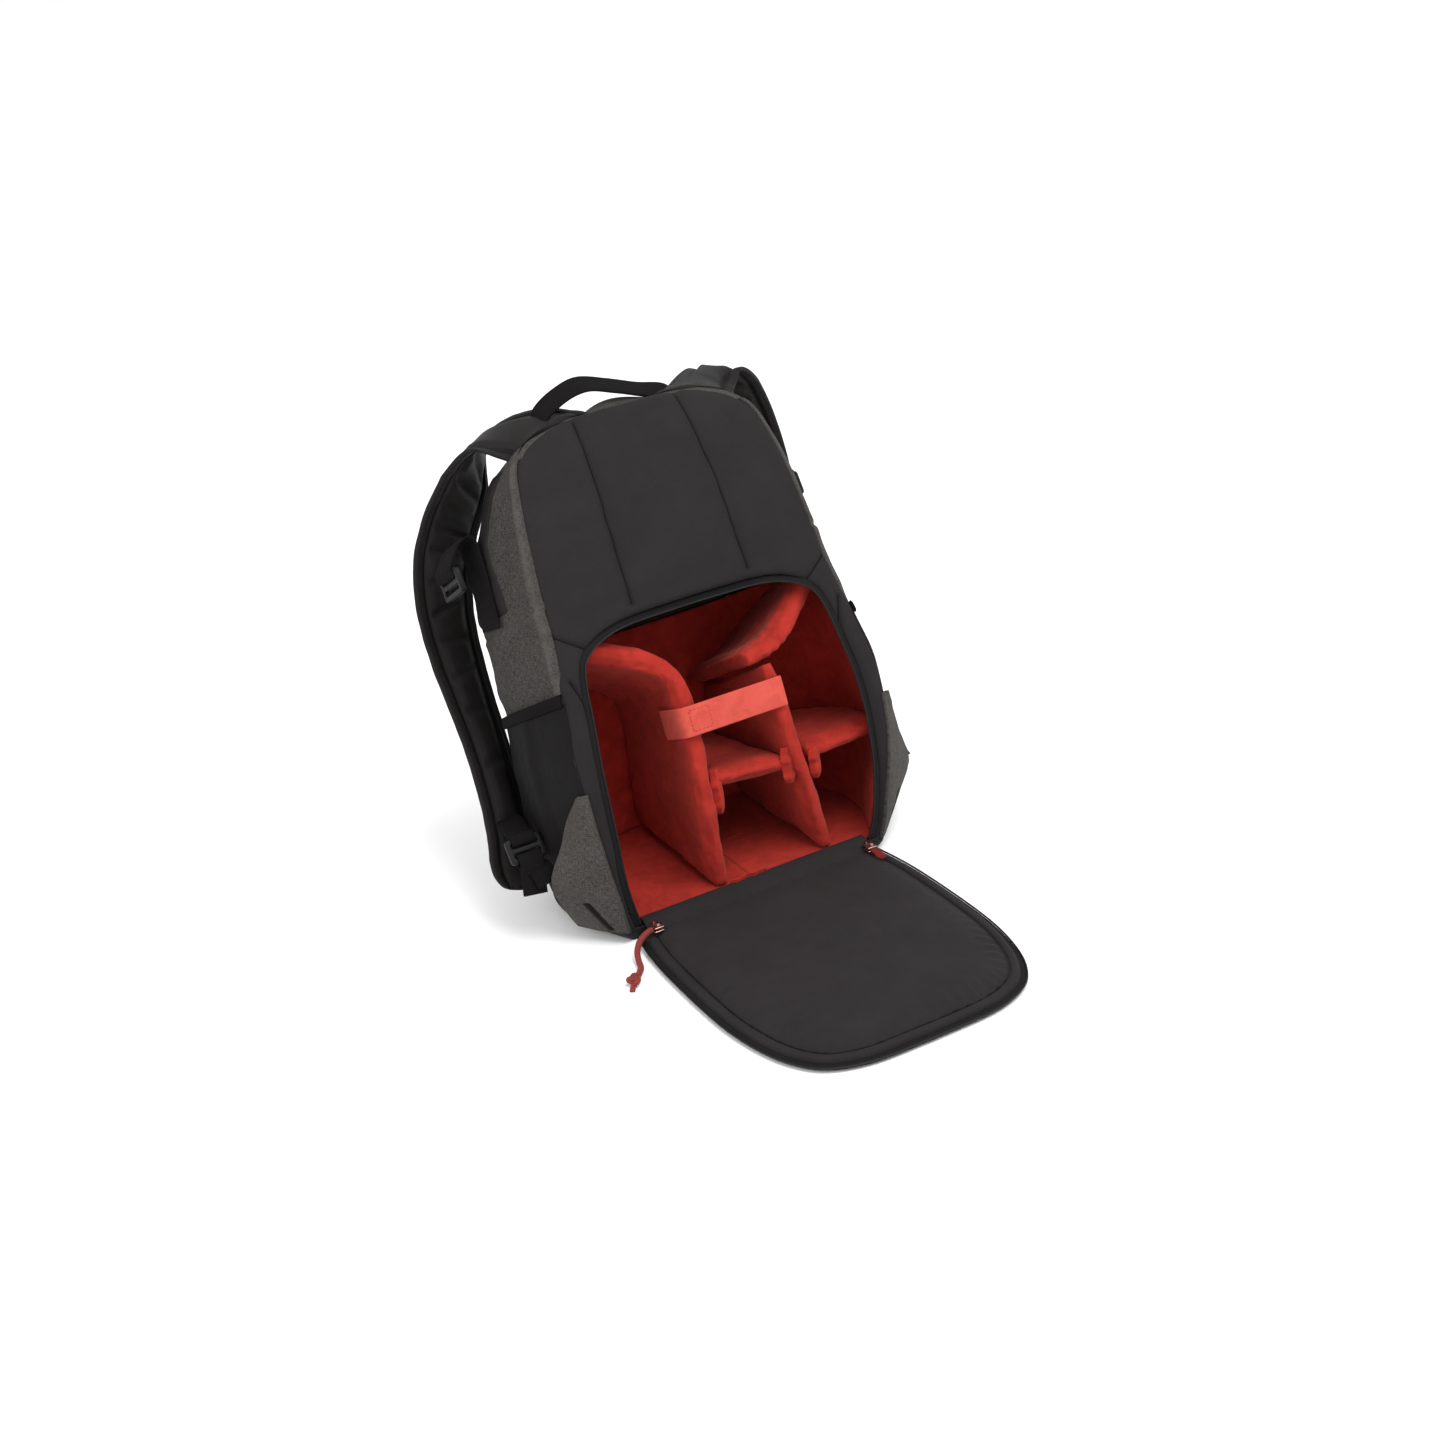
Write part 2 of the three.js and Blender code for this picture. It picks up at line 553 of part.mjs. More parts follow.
// Flap: a padded panel on the floor, its hinge edge against the base. Each row of its section has
// its share of the way out to the rim and its height as a share of FLAP_EDGE.
const hingeLine = slump(0, 0, BASE_RISE).y - GAP;
const FLAP_SECTION = [
  { out: 0, rise: 0 },
  { out: 0.93, rise: 0 },
  { out: 0.985, rise: 0.12 },
  { out: 1, rise: 0.45 },
  { out: 0.992, rise: 0.85 },
  { out: 0.955, rise: 1 },
  { out: 0.87, rise: 1.35 },
  { out: 0.7, rise: 1.7 },
  { out: 0.4, rise: 1.85 },
  { out: 0, rise: FLAP_CROWN / FLAP_EDGE },
];
const HINGE_STEPS = 6;
const FLAP_AROUND = HINGE_STEPS + LAST_RIM;
const flapMiddle = -0.45 * FLAP_LENGTH;
const flapShare = 1 - ZIP_WIDTH / OPENING_HALF;
const flapRim = (step) => new THREE.Vector3(
  FLAP_RIM[step][0] * flapShare,
  -FLAP_RIM[step][1] * (FLAP_LENGTH - ZIP_WIDTH),
  0,
);

// Along the hinge the flap follows the base's near face.
function flapEdge(step, rise) {
  if (step >= HINGE_STEPS) return flapRim(step - HINGE_STEPS);
  const hinge = slump(0, SEAM, rise).y - slump(0, 0, BASE_RISE).y;
  return flapRim(LAST_RIM).lerp(flapRim(0), step / HINGE_STEPS).setY(step === 0 ? 0 : hinge);
}

const flapSection = FLAP_SECTION.map(({ out, rise }) => new THREE.Vector2(out, rise * FLAP_EDGE));
put('flap', moved(new THREE.LatheGeometry(flapSection, FLAP_AROUND), ({ x, y, z }) => {
  const out = Math.hypot(x, z);
  const turn = Math.atan2(x, z) / (2 * Math.PI) + 1;
  const edge = flapEdge(Math.round(turn * FLAP_AROUND) % FLAP_AROUND, y);
  return new THREE.Vector3(out * edge.x, hingeLine + flapMiddle + out * (edge.y - flapMiddle), y);
}), BLACK);

// A prism with rounded sides, set with its middle at a point; up is its long way, face its thickness.
function prism(shape, thick, centre, up, face) {
  const geometry = new THREE.ExtrudeGeometry(shape, { depth: thick, bevelEnabled: false, curveSegments: 2 });
  geometry.translate(0, 0, -thick / 2);
  const long = up.clone().normalize();
  const out = face.clone().addScaledVector(long, -face.dot(long)).normalize();
  geometry.applyMatrix4(new THREE.Matrix4().makeBasis(long.clone().cross(out), long, out));
  geometry.translate(...centre);
  return skin(geometry);
}

function rounded(path, width, height, radius) {
  const [x, y] = [width / 2, height / 2];
  path.moveTo(-x + radius, -y);
  path.lineTo(x - radius, -y);
  path.quadraticCurveTo(x, -y, x, -y + radius);
  path.lineTo(x, y - radius);
  path.quadraticCurveTo(x, y, x - radius, y);
  path.lineTo(-x + radius, y);
  path.quadraticCurveTo(-x, y, -x, y - radius);
  path.lineTo(-x, -y + radius);
  path.quadraticCurveTo(-x, -y, -x + radius, -y);
  return path;
}

// Zip sliders at the two ends of the zip, and what they are pulled by.
const UP = new THREE.Vector3(0, 0, 1);
const NEAR = new THREE.Vector3(0, -1, 0);
const SLIDER = { wide: 8, long: 11, thick: 5 };
const sliderRise = FLAP_EDGE + SLIDER.thick / 2 + 3;
const sliderBack = hingeLine - SLIDER.long;
const sliderOut = flapRim(LAST_RIM).x - SLIDER.wide;
const widestRise = FLAP_EDGE * FLAP_SECTION.find(({ out }) => out === 1).rise;
for (const [name, side] of SIDES) {
  const shape = rounded(new THREE.Shape(), SLIDER.wide, SLIDER.long, 2);
  const centre = new THREE.Vector3(side * sliderOut, sliderBack, sliderRise);
  put(`zip_slider_${name}`, prism(shape, SLIDER.thick, centre, NEAR, UP), METAL);
}
put('flap_zip', moved(chain(flapRim, 1), ({ x, y, z }) => (
  new THREE.Vector3(x, hingeLine + y, widestRise + z - ZIP_THICK / 2)
)), WEBBING_BLACK);

// A fine cord hangs from the left slider on to the floor, and a cloth tab from the right one.
const CORD_ROUTE = [[-103.2, -92, 14.4], [-106.5, -93, 14.6], [-112, -96, 14.4], [-118.5, -100, 12.4],
  [-123.4, -105, 8], [-125.6, -111, 3.8], [-127.6, -118, 2.6], [-132.6, -124.6, 2.6], [-138.4, -130.6, 2.6]];
const cordShape = new THREE.Shape().absarc(0, 0, CORD / 2, 0, 2 * Math.PI);
put('zip_pull_left', skin(new THREE.ExtrudeGeometry(cordShape, {
  steps: 20,
  bevelEnabled: false,
  curveSegments: 3,
  extrudePath: new THREE.CatmullRomCurve3(CORD_ROUTE.map((point) => new THREE.Vector3(...point))),
})), RED);
const TAB = { wide: 7, long: 16, thick: 2 };
put('zip_pull_right', prism(
  rounded(new THREE.Shape(), TAB.wide, TAB.long, 1.5),
  TAB.thick,
  new THREE.Vector3(sliderOut, sliderBack - (SLIDER.long + TAB.long) / 2 - GAP, sliderRise),
  NEAR,
  UP,
), RED);

// Pockets, their elastic hems and the lower corner wings.
const wingReach = column(WING.toReversed(), 'reach');
const wingStand = column(WING.toReversed(), 'stand');

function wing(side, standOff) {
  return block([4, WING.length - 1, 1], (u, v, w) => {
    const share = WING[WING.length - 1 - Math.round(v * (WING.length - 1))].up;
    const up = share * WING_UP;
    const deep = 2 * SEAM + u * WING_REACH * wingReach(share);
    const [across] = flank(side, turnAt(deep, up, 0), up, 0);
    const stand = standOff * wingStand(share) * u + WING_OFF;
    return slump(side * (across + stand + w * WING_PAD), deep, up);
  });
}

for (const [name, side] of SIDES) {
  put(`side_pocket_${name}`, wall({
    side,
    ups: levels(bodyLow, HEM_UP - GAP),
    from: 0,
    to: FRONT_STEP,
    outer: () => 0,
    inner: () => CLOTH,
  }), BLACK);
  put(`pocket_hem_${name}`, wall({
    side,
    ups: [HEM_UP, HEM_UP + HEM_WIDTH],
    from: 0,
    to: FRONT_STEP,
    outer: () => -1,
    inner: () => CLOTH - 1,
  }), WEBBING_BLACK);
  put(`wing_${name}`, wing(side, WING_STAND[name]), GREY);
}

// The outside of the bag, which whatever lies on it is cut to fit.
const outside = manifold(slumped(manifold(loft(levels(0, HEIGHT + 2 * SEAM), -1 - SEAM, -SEAM))));

// Shoulder straps. The right one arches higher than the left one, then hangs further in and further
// back. crest is the row at the top of the arch.
const SWINGS = {
  left: { side: -1, inward: 0, back: 0, rise: 0 },
  right: { side: 1, inward: 0.09, back: 45, rise: 0.04 },
};
const CREST = 3;

// The padding ends at a share of the half width, with a flat bound border beyond it, and loses a share
// of its thickness towards that border.
const PADDED = 0.7;
const PAD_LOSS = 0.3;

function between(name, u) {
  const place = u * (STRAP.length - 1);
  const i = Math.min(Math.floor(place), STRAP.length - 2);
  return THREE.MathUtils.lerp(STRAP[i][name], STRAP[i + 1][name], place - i);
}

function strapBand({ side, inward, back, rise }, grow) {
  const route = STRAP.map(({ out, deep, up }, i) => {
    const way = Math.PI * i / (STRAP.length - 1);
    const across = HALF_WIDTH * out * (1 - inward * Math.sin(way));
    const arch = rise * Math.max(0, 1 - ((i - CREST) / CREST) ** 2);
    return slump(side * across, DEPTH * deep + back * Math.sin(way / 2), HEIGHT * (up + arch));
  });
  return manifold(band({
    route,
    facing: (u) => {
      const lift = THREE.MathUtils.degToRad(between('lift', u));
      const turn = THREE.MathUtils.degToRad(between('turn', u));
      const flat = Math.cos(lift);
      return new THREE.Vector3(-side * Math.sin(turn) * flat, -Math.cos(turn) * flat, Math.sin(lift));
    },
    steps: 20,
    strips: 4,
    half: (u) => grow + STRAP_WIDTH * between('wide', u) / 2,
    thick: (u, across) => 2 * grow
      + (Math.abs(across) > PADDED
        ? STRAP_BORDER
        : STRAP_PAD * between('puff', u) * (1 - PAD_LOSS * across * across)),
  }));
}

function geometryOf(solid) {
  const { vertProperties, triVerts } = solid.getMesh();
  const geometry = new THREE.BufferGeometry();
  geometry.setAttribute('position', new THREE.BufferAttribute(new Float32Array(vertProperties), 3));
  geometry.setIndex(new THREE.BufferAttribute(new Uint32Array(triVerts), 1));
  return skin(geometry);
}

for (const [name, swing] of Object.entries(SWINGS)) {
  put(`shoulder_strap_${name}`, geometryOf(largest(strapBand(swing, 0).subtract(outside))), BLACK);
}

// Haul handle: a loop of webbing sewn in behind the shoulder straps. out is a share of HALF_WIDTH;
// behind and above are from the middle of the top seam.
const HANDLE_ROUTE = [
  { out: -0.485, behind: 18, above: -12 },
  { out: -0.456, behind: 16, above: 3 },
  { out: -0.324, behind: 14, above: 15 },
  { out: -0.176, behind: 14, above: 19 },
  { out: 0, behind: 14, above: 13 },
  { out: 0.184, behind: 14, above: 6 },
  { out: 0.353, behind: 15, above: 1 },
  { out: 0.441, behind: 18, above: -12 },
];
const topSeam = slump(0, 0, HEIGHT);
const handleAcross = new THREE.Vector3(0, 0.93, 0.36);
const handle = webbing(
  HANDLE_ROUTE.map(({ out, behind, above }) => new THREE.Vector3(
    HALF_WIDTH * out,
    topSeam.y + behind,
    topSeam.z + above,
  )),
  HANDLE_WIDTH,
  handleAcross,
);
put('haul_handle', geometryOf(largest(
  manifold(handle).subtract(outside).subtract(strapBand(SWINGS.left, GAP)).subtract(strapBand(SWINGS.right, GAP)),
)), WEBBING_BLACK);

// Buckles: a frame with two slots as wide as the webbing, which turns round their bars.
const BUCKLE = { long: 20, radius: 2.5, play: 2 };
const slotLong = (BUCKLE.long - 3 * BUCKLE_FRAME) / 2;
const barPlace = (BUCKLE.long - BUCKLE_FRAME) / 2;

function buckle({ centre, up, face }, webbingWidth) {
  const slotWide = webbingWidth + BUCKLE.play;
  const shape = rounded(new THREE.Shape(), slotWide + 2 * BUCKLE_FRAME, BUCKLE.long, BUCKLE.radius);
  for (const way of [-1, 1]) {
    const slot = rounded(new THREE.Path(), slotWide, slotLong, 1).getPoints(1);
    const shift = new THREE.Vector2(0, way * (slotLong + BUCKLE_FRAME) / 2);
    shape.holes.push(new THREE.Path(slot.map((point) => point.add(shift))));
  }
  return prism(shape, BUCKLE_THICK, centre, up, face);
}

// The turn of a webbing round a buckle's end bar, from its front to its back.
const TURN = [[4, 3.7], [-1, 3.8], [-3.3, 3], [-3.8, 0], [-3.3, -3], [-1, -3.8], [4, -3.7]];

function turnRound({ centre, up, face }, way) {
  return TURN.map(([off, out]) => centre.clone()
    .addScaledVector(up, way * (barPlace + off))
    .addScaledVector(face, out));
}

// At the end of each shoulder strap: its buckle, the tab that holds it and the adjusting webbing, which
// comes from the wing and hangs down from the buckle. Each place starts with how far out it lies
// from HALF_WIDTH.
for (const [name, side] of SIDES) {
  const back = SWINGS[name].back;
  const point = ([out, y, z]) => new THREE.Vector3(side * (HALF_WIDTH + out), y + back, z);
  const up = new THREE.Vector3(0, 0.62, 0.78).normalize();
  const place = { centre: point([34, -24, 82]), up, face: NEAR.clone().addScaledVector(up, up.y).normalize() };
  put(`ladder_lock_${name}`, buckle(place, ADJUST_WIDTH), PLASTIC);
  const tab = [...turnRound(place, 1), point([33, -6, 90]), point([30, 8, 90]), point([29, 22, 88])];
  put(`strap_tab_${name}`, geometryOf(largest(
    manifold(webbing(tab, ADJUST_WIDTH, new THREE.Vector3(1, 0, 0))).subtract(strapBand(SWINGS[name], GAP)),
  )), WEBBING_BLACK);
  const tail = [point([38, -41, 50]), point([36, -37, 64])];
  const fromWing = [point([29, -37, 67]), point([26, -43.5 - back, 57])];
  put(`strap_webbing_${name}`, webbing(
    [...tail, ...turnRound(place, -1), ...fromWing],
    ADJUST_WIDTH,
    new THREE.Vector3(1, 0, 0),
  ), WEBBING_BLACK);
}

// Side straps: sewn on the side above the pocket, with a buckle hanging from a loop at the top. Each
// row of the route has its depth as a share of DEPTH, its height as a share of HEIGHT and how far it
// stands off its seat. The right one is further back and lies closer to the side.
const SIDE_ROUTE = [
  { deep: 0.3, up: 0.705, off: 0 },
  { deep: 0.295, up: 0.763, off: 0.1 },
  { deep: 0.29, up: 0.8, off: 1.8 },
  { deep: 0.285, up: 0.84, off: 4.8 },
  { deep: 0.28, up: 0.868, off: 9.8 },
  { deep: 0.275, up: 0.876, off: 16.8 },
  { deep: 0.27, up: 0.866, off: 23.8 },
];
const BUCKLE_SPOT = { deep: 0.27, up: 0.806, off: 22.8 };
const HANGS = { left: { back: 0, seat: 1.2, stand: 1 }, right: { back: 0.1, seat: 1.8, stand: 0.4 } };

function onSide(name, side, { deep, up, off }, further = 0) {
  const { back, seat, stand } = HANGS[name];
  const [into, high] = [DEPTH * (deep + back) + further, HEIGHT * up];
  const [across] = flank(side, turnAt(into, high, 0), high, 0);
  return slump(side * (across + seat + off * stand), into, high);
}

for (const [name, side] of SIDES) {
  const half = SIDE_STRAP_WIDTH / 2;
  const edges = [-half, half].map((far) => onSide(name, side, SIDE_ROUTE[1], far));
  const across = edges[1].sub(edges[0]).normalize();
  const face = new THREE.Vector3(side, 0, 0).addScaledVector(across, -side * across.x).normalize();
  const up = face.clone().cross(across).multiplyScalar(side);
  const place = { centre: onSide(name, side, BUCKLE_SPOT), up, face };
  put(`side_buckle_${name}`, buckle(place, SIDE_STRAP_WIDTH), PLASTIC);
  put(`side_strap_${name}`, webbing(
    [...SIDE_ROUTE.map((row) => onSide(name, side, row)), ...turnRound(place, 1)],
    SIDE_STRAP_WIDTH,
    across,
  ), WEBBING_BLACK);
}

export default bag;
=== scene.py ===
"""A camera backpack, standing on its base with the flap of its back panel open on the floor."""

import bisect
from functools import partial
from math import atan2, copysign, cos, exp, hypot, pi, radians, sin, sqrt

import bmesh
import bpy
from mathutils import Matrix, Vector, noise


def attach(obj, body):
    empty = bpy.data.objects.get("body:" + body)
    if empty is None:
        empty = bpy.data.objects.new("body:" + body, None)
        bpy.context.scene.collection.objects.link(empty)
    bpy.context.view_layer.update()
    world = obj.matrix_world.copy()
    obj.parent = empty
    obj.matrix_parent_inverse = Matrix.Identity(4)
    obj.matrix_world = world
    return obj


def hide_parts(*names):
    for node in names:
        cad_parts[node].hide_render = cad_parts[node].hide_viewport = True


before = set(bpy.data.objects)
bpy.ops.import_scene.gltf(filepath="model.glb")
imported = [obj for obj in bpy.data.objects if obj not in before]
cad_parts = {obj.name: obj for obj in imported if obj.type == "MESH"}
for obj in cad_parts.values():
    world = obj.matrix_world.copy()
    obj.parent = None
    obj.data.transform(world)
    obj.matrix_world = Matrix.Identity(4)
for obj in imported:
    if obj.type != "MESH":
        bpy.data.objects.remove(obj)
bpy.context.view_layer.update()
scene = bpy.context.scene
MM = 0.001

# The camera stands to the wearer's left of the opening and looks down on it. Its axes and its place
# are in the part's frame, and the long lens keeps the bag small in the middle of a square picture.
EYE = Vector((-0.6997, -1.4876, 0.9192))
EYE_RIGHT = Vector((0.87047, -0.48020, -0.10816))
EYE_UP = Vector((0.29640, 0.33593, 0.89403))
SENSOR = 36
LENS = 56.55


def placed(name, data):
    """A new object in the scene."""
    made = bpy.data.objects.new(name, data)
    scene.collection.objects.link(made)
    return made


lens = bpy.data.cameras.new("camera")
lens.sensor_width = SENSOR
lens.lens = LENS
camera = placed("camera", lens)
turned = Matrix((EYE_RIGHT, EYE_UP, EYE_RIGHT.cross(EYE_UP))).transposed().to_4x4()
camera.matrix_world = Matrix.Translation(EYE) @ turned
scene.camera = camera

# The studio: a pale floor, one large soft light overhead towards the wearer's side, a weaker one from
# the left, and even light from all round.
FLOOR_REACH = 60.0
FLOOR_TONE = 0.97
STUDIO_TONE = 1.0
STUDIO_STRENGTH = 1.02
LIGHTS = {
    # each light's place, width and power
    "overhead": ((0.3, -1.0, 2.1), 1.3, 40),
    "left": ((-1.9, -0.5, 1.1), 1.1, 10),
}
LIGHTS_AIM = Vector((0, 0, 0.15))

studio = bpy.data.worlds.new("studio")
studio.use_nodes = True
air = studio.node_tree.nodes["Background"]
air.inputs["Color"].default_value = (STUDIO_TONE, STUDIO_TONE, STUDIO_TONE, 1)
air.inputs["Strength"].default_value = STUDIO_STRENGTH
scene.world = studio
scene.view_settings.view_transform = "Standard"

for name, (place, wide, power) in LIGHTS.items():
    light = bpy.data.lights.new(name, "AREA")
    light.size = wide
    light.energy = power
    lamp = placed(name, light)
    lamp.location = place
    lamp.rotation_euler = (LIGHTS_AIM - lamp.location).to_track_quat("-Z", "Y").to_euler()

ground = bmesh.new()
bmesh.ops.create_grid(ground, x_segments=1, y_segments=1, size=FLOOR_REACH)
floor_mesh = bpy.data.meshes.new("floor")
ground.to_mesh(floor_mesh)
ground.free()
floor = placed("floor", floor_mesh)
paper = bpy.data.materials.new("floor_paper")
paper.use_nodes = True
paper_finish = paper.node_tree.nodes["Principled BSDF"].inputs
paper_finish["Base Color"].default_value = (FLOOR_TONE, FLOOR_TONE, FLOOR_TONE, 1)
paper_finish["Roughness"].default_value = 0.9
floor_mesh.materials.append(paper)


# The left zip pull: a red braided cord that hangs over the edge of the flap and is tied in a knot,
# which lies on the floor. The route is that of the solid.
CORD_WIDE = 5.0
CORD_ROUTE = [(-103.2, -92, 14.4), (-106.5, -93, 14.6), (-112, -96, 14.4), (-118.5, -100, 12.4),
              (-123.4, -105, 8), (-125.6, -111, 3.8), (-127.6, -118, 2.6), (-132.6, -124.6, 2.6),
              (-138.4, -130.6, 2.6)]
BRAID_TURNS = 900


def spline(points):
    """A smooth curve through points, as a function of the share of its length."""
    ends = [2 * points[0] - points[1], *points, 2 * points[-1] - points[-2]]
    fine = 16
    dense = []
    for i in range(len(points) - 1):
        a, b, c, d = ends[i:i + 4]
        for k in range(fine):
            t = k / fine
            dense.append(0.5 * (2 * b + (c - a) * t + (2 * a - 5 * b + 4 * c - d) * t * t
                                + (3 * b - a - 3 * c + d) * t * t * t))
    dense.append(points[-1].copy())
    far = [0.0]
    for before, after in zip(dense, dense[1:]):
        far.append(far[-1] + (after - before).length)

    def at(share):
        reach = min(max(share, 0.0), 1.0) * far[-1]
        i = min(max(bisect.bisect_right(far, reach) - 1, 0), len(far) - 2)
        gap = far[i + 1] - far[i]
        return dense[i].lerp(dense[i + 1], (reach - far[i]) / gap if gap else 0.0)

    at.length = far[-1]
    return at


def shader(name, settings):
    """A material, a maker of its nodes and a plug for its shader, whose sockets start from settings."""
    material = bpy.data.materials.new(name)
    material.use_nodes = True
    nodes = material.node_tree.nodes
    links = material.node_tree.links
    finish = nodes["Principled BSDF"]
    for socket, value in settings.items():
        finish.inputs[socket].default_value = value

    def node(kind, inputs=(), **settings):
        made = nodes.new("ShaderNode" + kind)
        for key, value in settings.items():
            setattr(made, key, value)
        for key, value in dict(inputs).items():
            if isinstance(value, bpy.types.NodeSocket):
                links.new(value, made.inputs[key])
            else:
                made.inputs[key].default_value = value
        return made

    def plug(value, socket):
        links.new(value, finish.inputs[socket])

    return material, node, plug


def maths(node, operation, *values):
    """The result of an operation on values or sockets."""
    return node("Math", dict(enumerate(values)), operation=operation).outputs[0]


def noise_of(node, place, scale, detail, **inputs):
    """Uneven noise from 0 to 1 at a place."""
    return node("TexNoise", {"Vector": place, "Scale": scale, "Detail": detail, **inputs}).outputs["Fac"]


def blend_of(node, factor, dark, light):
    """A colour between dark and light."""
    return node("Mix", {0: factor, 6: (*dark, 1), 7: (*light, 1)}, data_type="RGBA").outputs[2]


def bumped(node, height, strength, distance, over=None, **settings):
    """The normal of a surface raised by a height, over another such normal if there is one."""
    inputs = {"Height": height, "Strength": strength, "Distance": distance}
    if over is not None:
        inputs["Normal"] = over
    return node("Bump", inputs, **settings).outputs["Normal"]


def braid_material(name, dark, light):
    """Braided cord: strands that cross in a fine diamond pattern, with fuzz on them."""
    material, node, plug = shader(name, {"Roughness": 0.7, "Sheen Weight": 0.05})
    place = node("TexCoord").outputs["Object"]
    strands = node("TexWave", {"Vector": place, "Scale": BRAID_TURNS / 4, "Distortion": 2.0},
                   bands_direction="DIAGONAL").outputs["Fac"]
    tone = maths(node, "MULTIPLY", strands, noise_of(node, place, BRAID_TURNS, 3))
    plug(blend_of(node, tone, dark, light), "Base Color")
    plug(bumped(node, strands, 0.7, 0.0006), "Normal")
    return material


red_cord = braid_material("red_cord", (0.12, 0.006, 0.005), (0.38, 0.026, 0.02))
cord_route = spline([Vector(point) * MM for point in CORD_ROUTE])
cord_line = bpy.data.curves.new("pull_cord", "CURVE")
cord_line.dimensions = "3D"
cord_line.bevel_depth = CORD_WIDE / 2 * MM
cord_line.bevel_resolution = 3
cord_line.use_fill_caps = True
run = cord_line.splines.new("POLY")
CORD_POINTS = 33
run.points.add(CORD_POINTS - 1)
for i, point in enumerate(run.points):
    point.co = (*cord_route(i / (CORD_POINTS - 1)), 1)
pull_cord = placed("pull_cord", cord_line)
cord_line.materials.append(red_cord)


def belongs(made, slot, *nodes):
    """What every piece says: the body it rides and the nodes it replaces. Its material's slot is not used."""
    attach(made, "root")
    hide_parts(*nodes)


belongs(pull_cord, "red_cord", "zip_pull_left")


# The back panel: two layers of black cloth over foam, quilted in two upright lines above the opening,
# with a slanting seam at each side of it. Its form is that of the whole bag, which slumps back.
HEIGHT = 380
HALF_WIDTH = 136
DEPTH = 166
LEAN_BACK = 139
TILT = radians(36)
FLARE = 25
CROWN = 6
BASE_RISE = 12
SEAM = 0.6
GAP = 0.35
BACK_PAD = 10
SIDE_PAD = 7
OPENING_HALF = 120
OPENING_TOP = 245
SECTIONS = {
    "up": [0, 0.026, 0.105, 0.21, 0.316, 0.421, 0.526, 0.632, 0.737, 0.829, 0.895, 0.945, 0.975, 0.992, 1],
    "back": [0, -0.03, -0.05, -0.05, -0.015, 0.065, 0.195, 0.355, 0.505, 0.635, 0.745, 0.845, 0.925,
             0.975, 1],
    "tilt": [0, 0, 0.06, 0.2, 0.39, 0.61, 0.78, 0.86, 0.89, 0.92, 0.94, 0.97, 1, 1, 1],
    "deep": [0.9, 0.96, 1, 1, 0.99, 0.96, 0.92, 0.86, 0.78, 0.68, 0.58, 0.47, 0.36, 0.27, 0.22],
    "wide": [0.84, 0.875, 0.915, 0.965, 0.995, 1, 0.957, 0.9, 0.875, 0.845, 0.81, 0.765, 0.67, 0.53, 0.42],
    "flare": [0.92, 0.98, 1, 1, 0.94, 0.94, 1.1, 1.28, 1.36, 1.24, 0.96, 0.74, 0.46, 0.2, 0],
    "right": [0.92, 0.98, 1, 1, 0.94, 0.88, 0.84, 0.8, 0.72, 0.58, 0.4, 0.25, 0.12, 0, 0],
    "square": [4, 4, 4, 4, 3.8, 3.6, 3.4, 3.2, 3, 2.8, 2.6, 2.4, 2.2, 2, 2],
}
RIM = {
    "up": [0, 0.1, 0.22, 0.37, 0.52, 0.64, 0.75, 0.84, 0.91, 0.95, 0.98, 0.996, 1],
    "wide": [0.915, 0.96, 0.99, 1, 1, 0.985, 0.955, 0.93, 0.885, 0.8, 0.66, 0.47, 0.15],
    "flap": [0.93, 0.965, 0.99, 1, 1, 0.985, 0.945, 0.885, 0.8, 0.71, 0.57, 0.4, 0.13],
}
NEAR_EDGE = -DEPTH * SECTIONS["deep"][0] / 2
QUILT_OUT = 51
QUILT_LOW = 250
QUILT_HIGH = 376
SLANT_SEAM = [(-122, 247), (-97, 231)]
STRIP_SEAM = [(-113, 28), (-109.5, 60), (-108, 110), (-109, 160), (-113, 196), (-119, 214)]


def ease(share):
    """Smooth from 0 to 1."""
    share = min(max(share, 0.0), 1.0)
    return share * share * (3 - 2 * share)


def monotone(ups, values):
    """A smooth curve through values, without overshoot, and straight past its ends."""
    last = len(ups) - 1
    rises = [(values[i + 1] - values[i]) / (ups[i + 1] - ups[i]) for i in range(last)]
    slopes = [rises[0]]
    for before, after in zip(rises, rises[1:]):
        slopes.append(2 * before * after / (before + after) if before * after > 0 else 0)
    slopes.append(rises[-1])

    def at(up):
        if up <= ups[0]:
            return values[0] + slopes[0] * (up - ups[0])
        if up >= ups[last]:
            return values[last] + slopes[last] * (up - ups[last])
        i = bisect.bisect_right(ups, up) - 1
        span = ups[i + 1] - ups[i]
        t = (up - ups[i]) / span
        soft = t * t * (3 - 2 * t)
        return (values[i] * (1 - soft) + values[i + 1] * soft
                + span * t * (1 - t) * ((1 - t) * slopes[i] - t * slopes[i + 1]))

    return at


section = {name: monotone(SECTIONS["up"], values) for name, values in SECTIONS.items() if name != "up"}


def slump(across, deep, up):
    """A point of the straight bag, carried to where it is in the leaning one, in metres."""
    share = up / HEIGHT
    tilt = TILT * min(max(section["tilt"](share), 0), 1)
    near = NEAR_EDGE + LEAN_BACK * section["back"](share)
    return Vector((across, near + deep * cos(tilt), up - deep * sin(tilt))) * MM


def flank(side, turn, up, inset=0.0):
    """Across and deep on one side of the section. The turn goes from 0 at the back panel to 1 behind."""
    share = up / HEIGHT
    square = section["square"](share)
    out = cos(turn * pi / 2)
    way = sin(turn * pi / 2)
    reach = (abs(out) ** square + abs(way) ** square) ** (-1 / square)
    flare = section["flare" if side < 0 else "right"](share)
    bulge = FLARE * flare * sin(pi * min(way * reach, 1))
    return ((HALF_WIDTH * section["wide"](share) - inset) * out * reach + bulge,
            (DEPTH * section["deep"](share) - inset) * way * reach)


def whole_flank(side, turn, up, inset=0.0):
    """The same with its side's sign, so that both sides meet in the middle."""
    across, deep = flank(side, turn, up, inset)
    return side * (across if turn < 1 else 0), deep


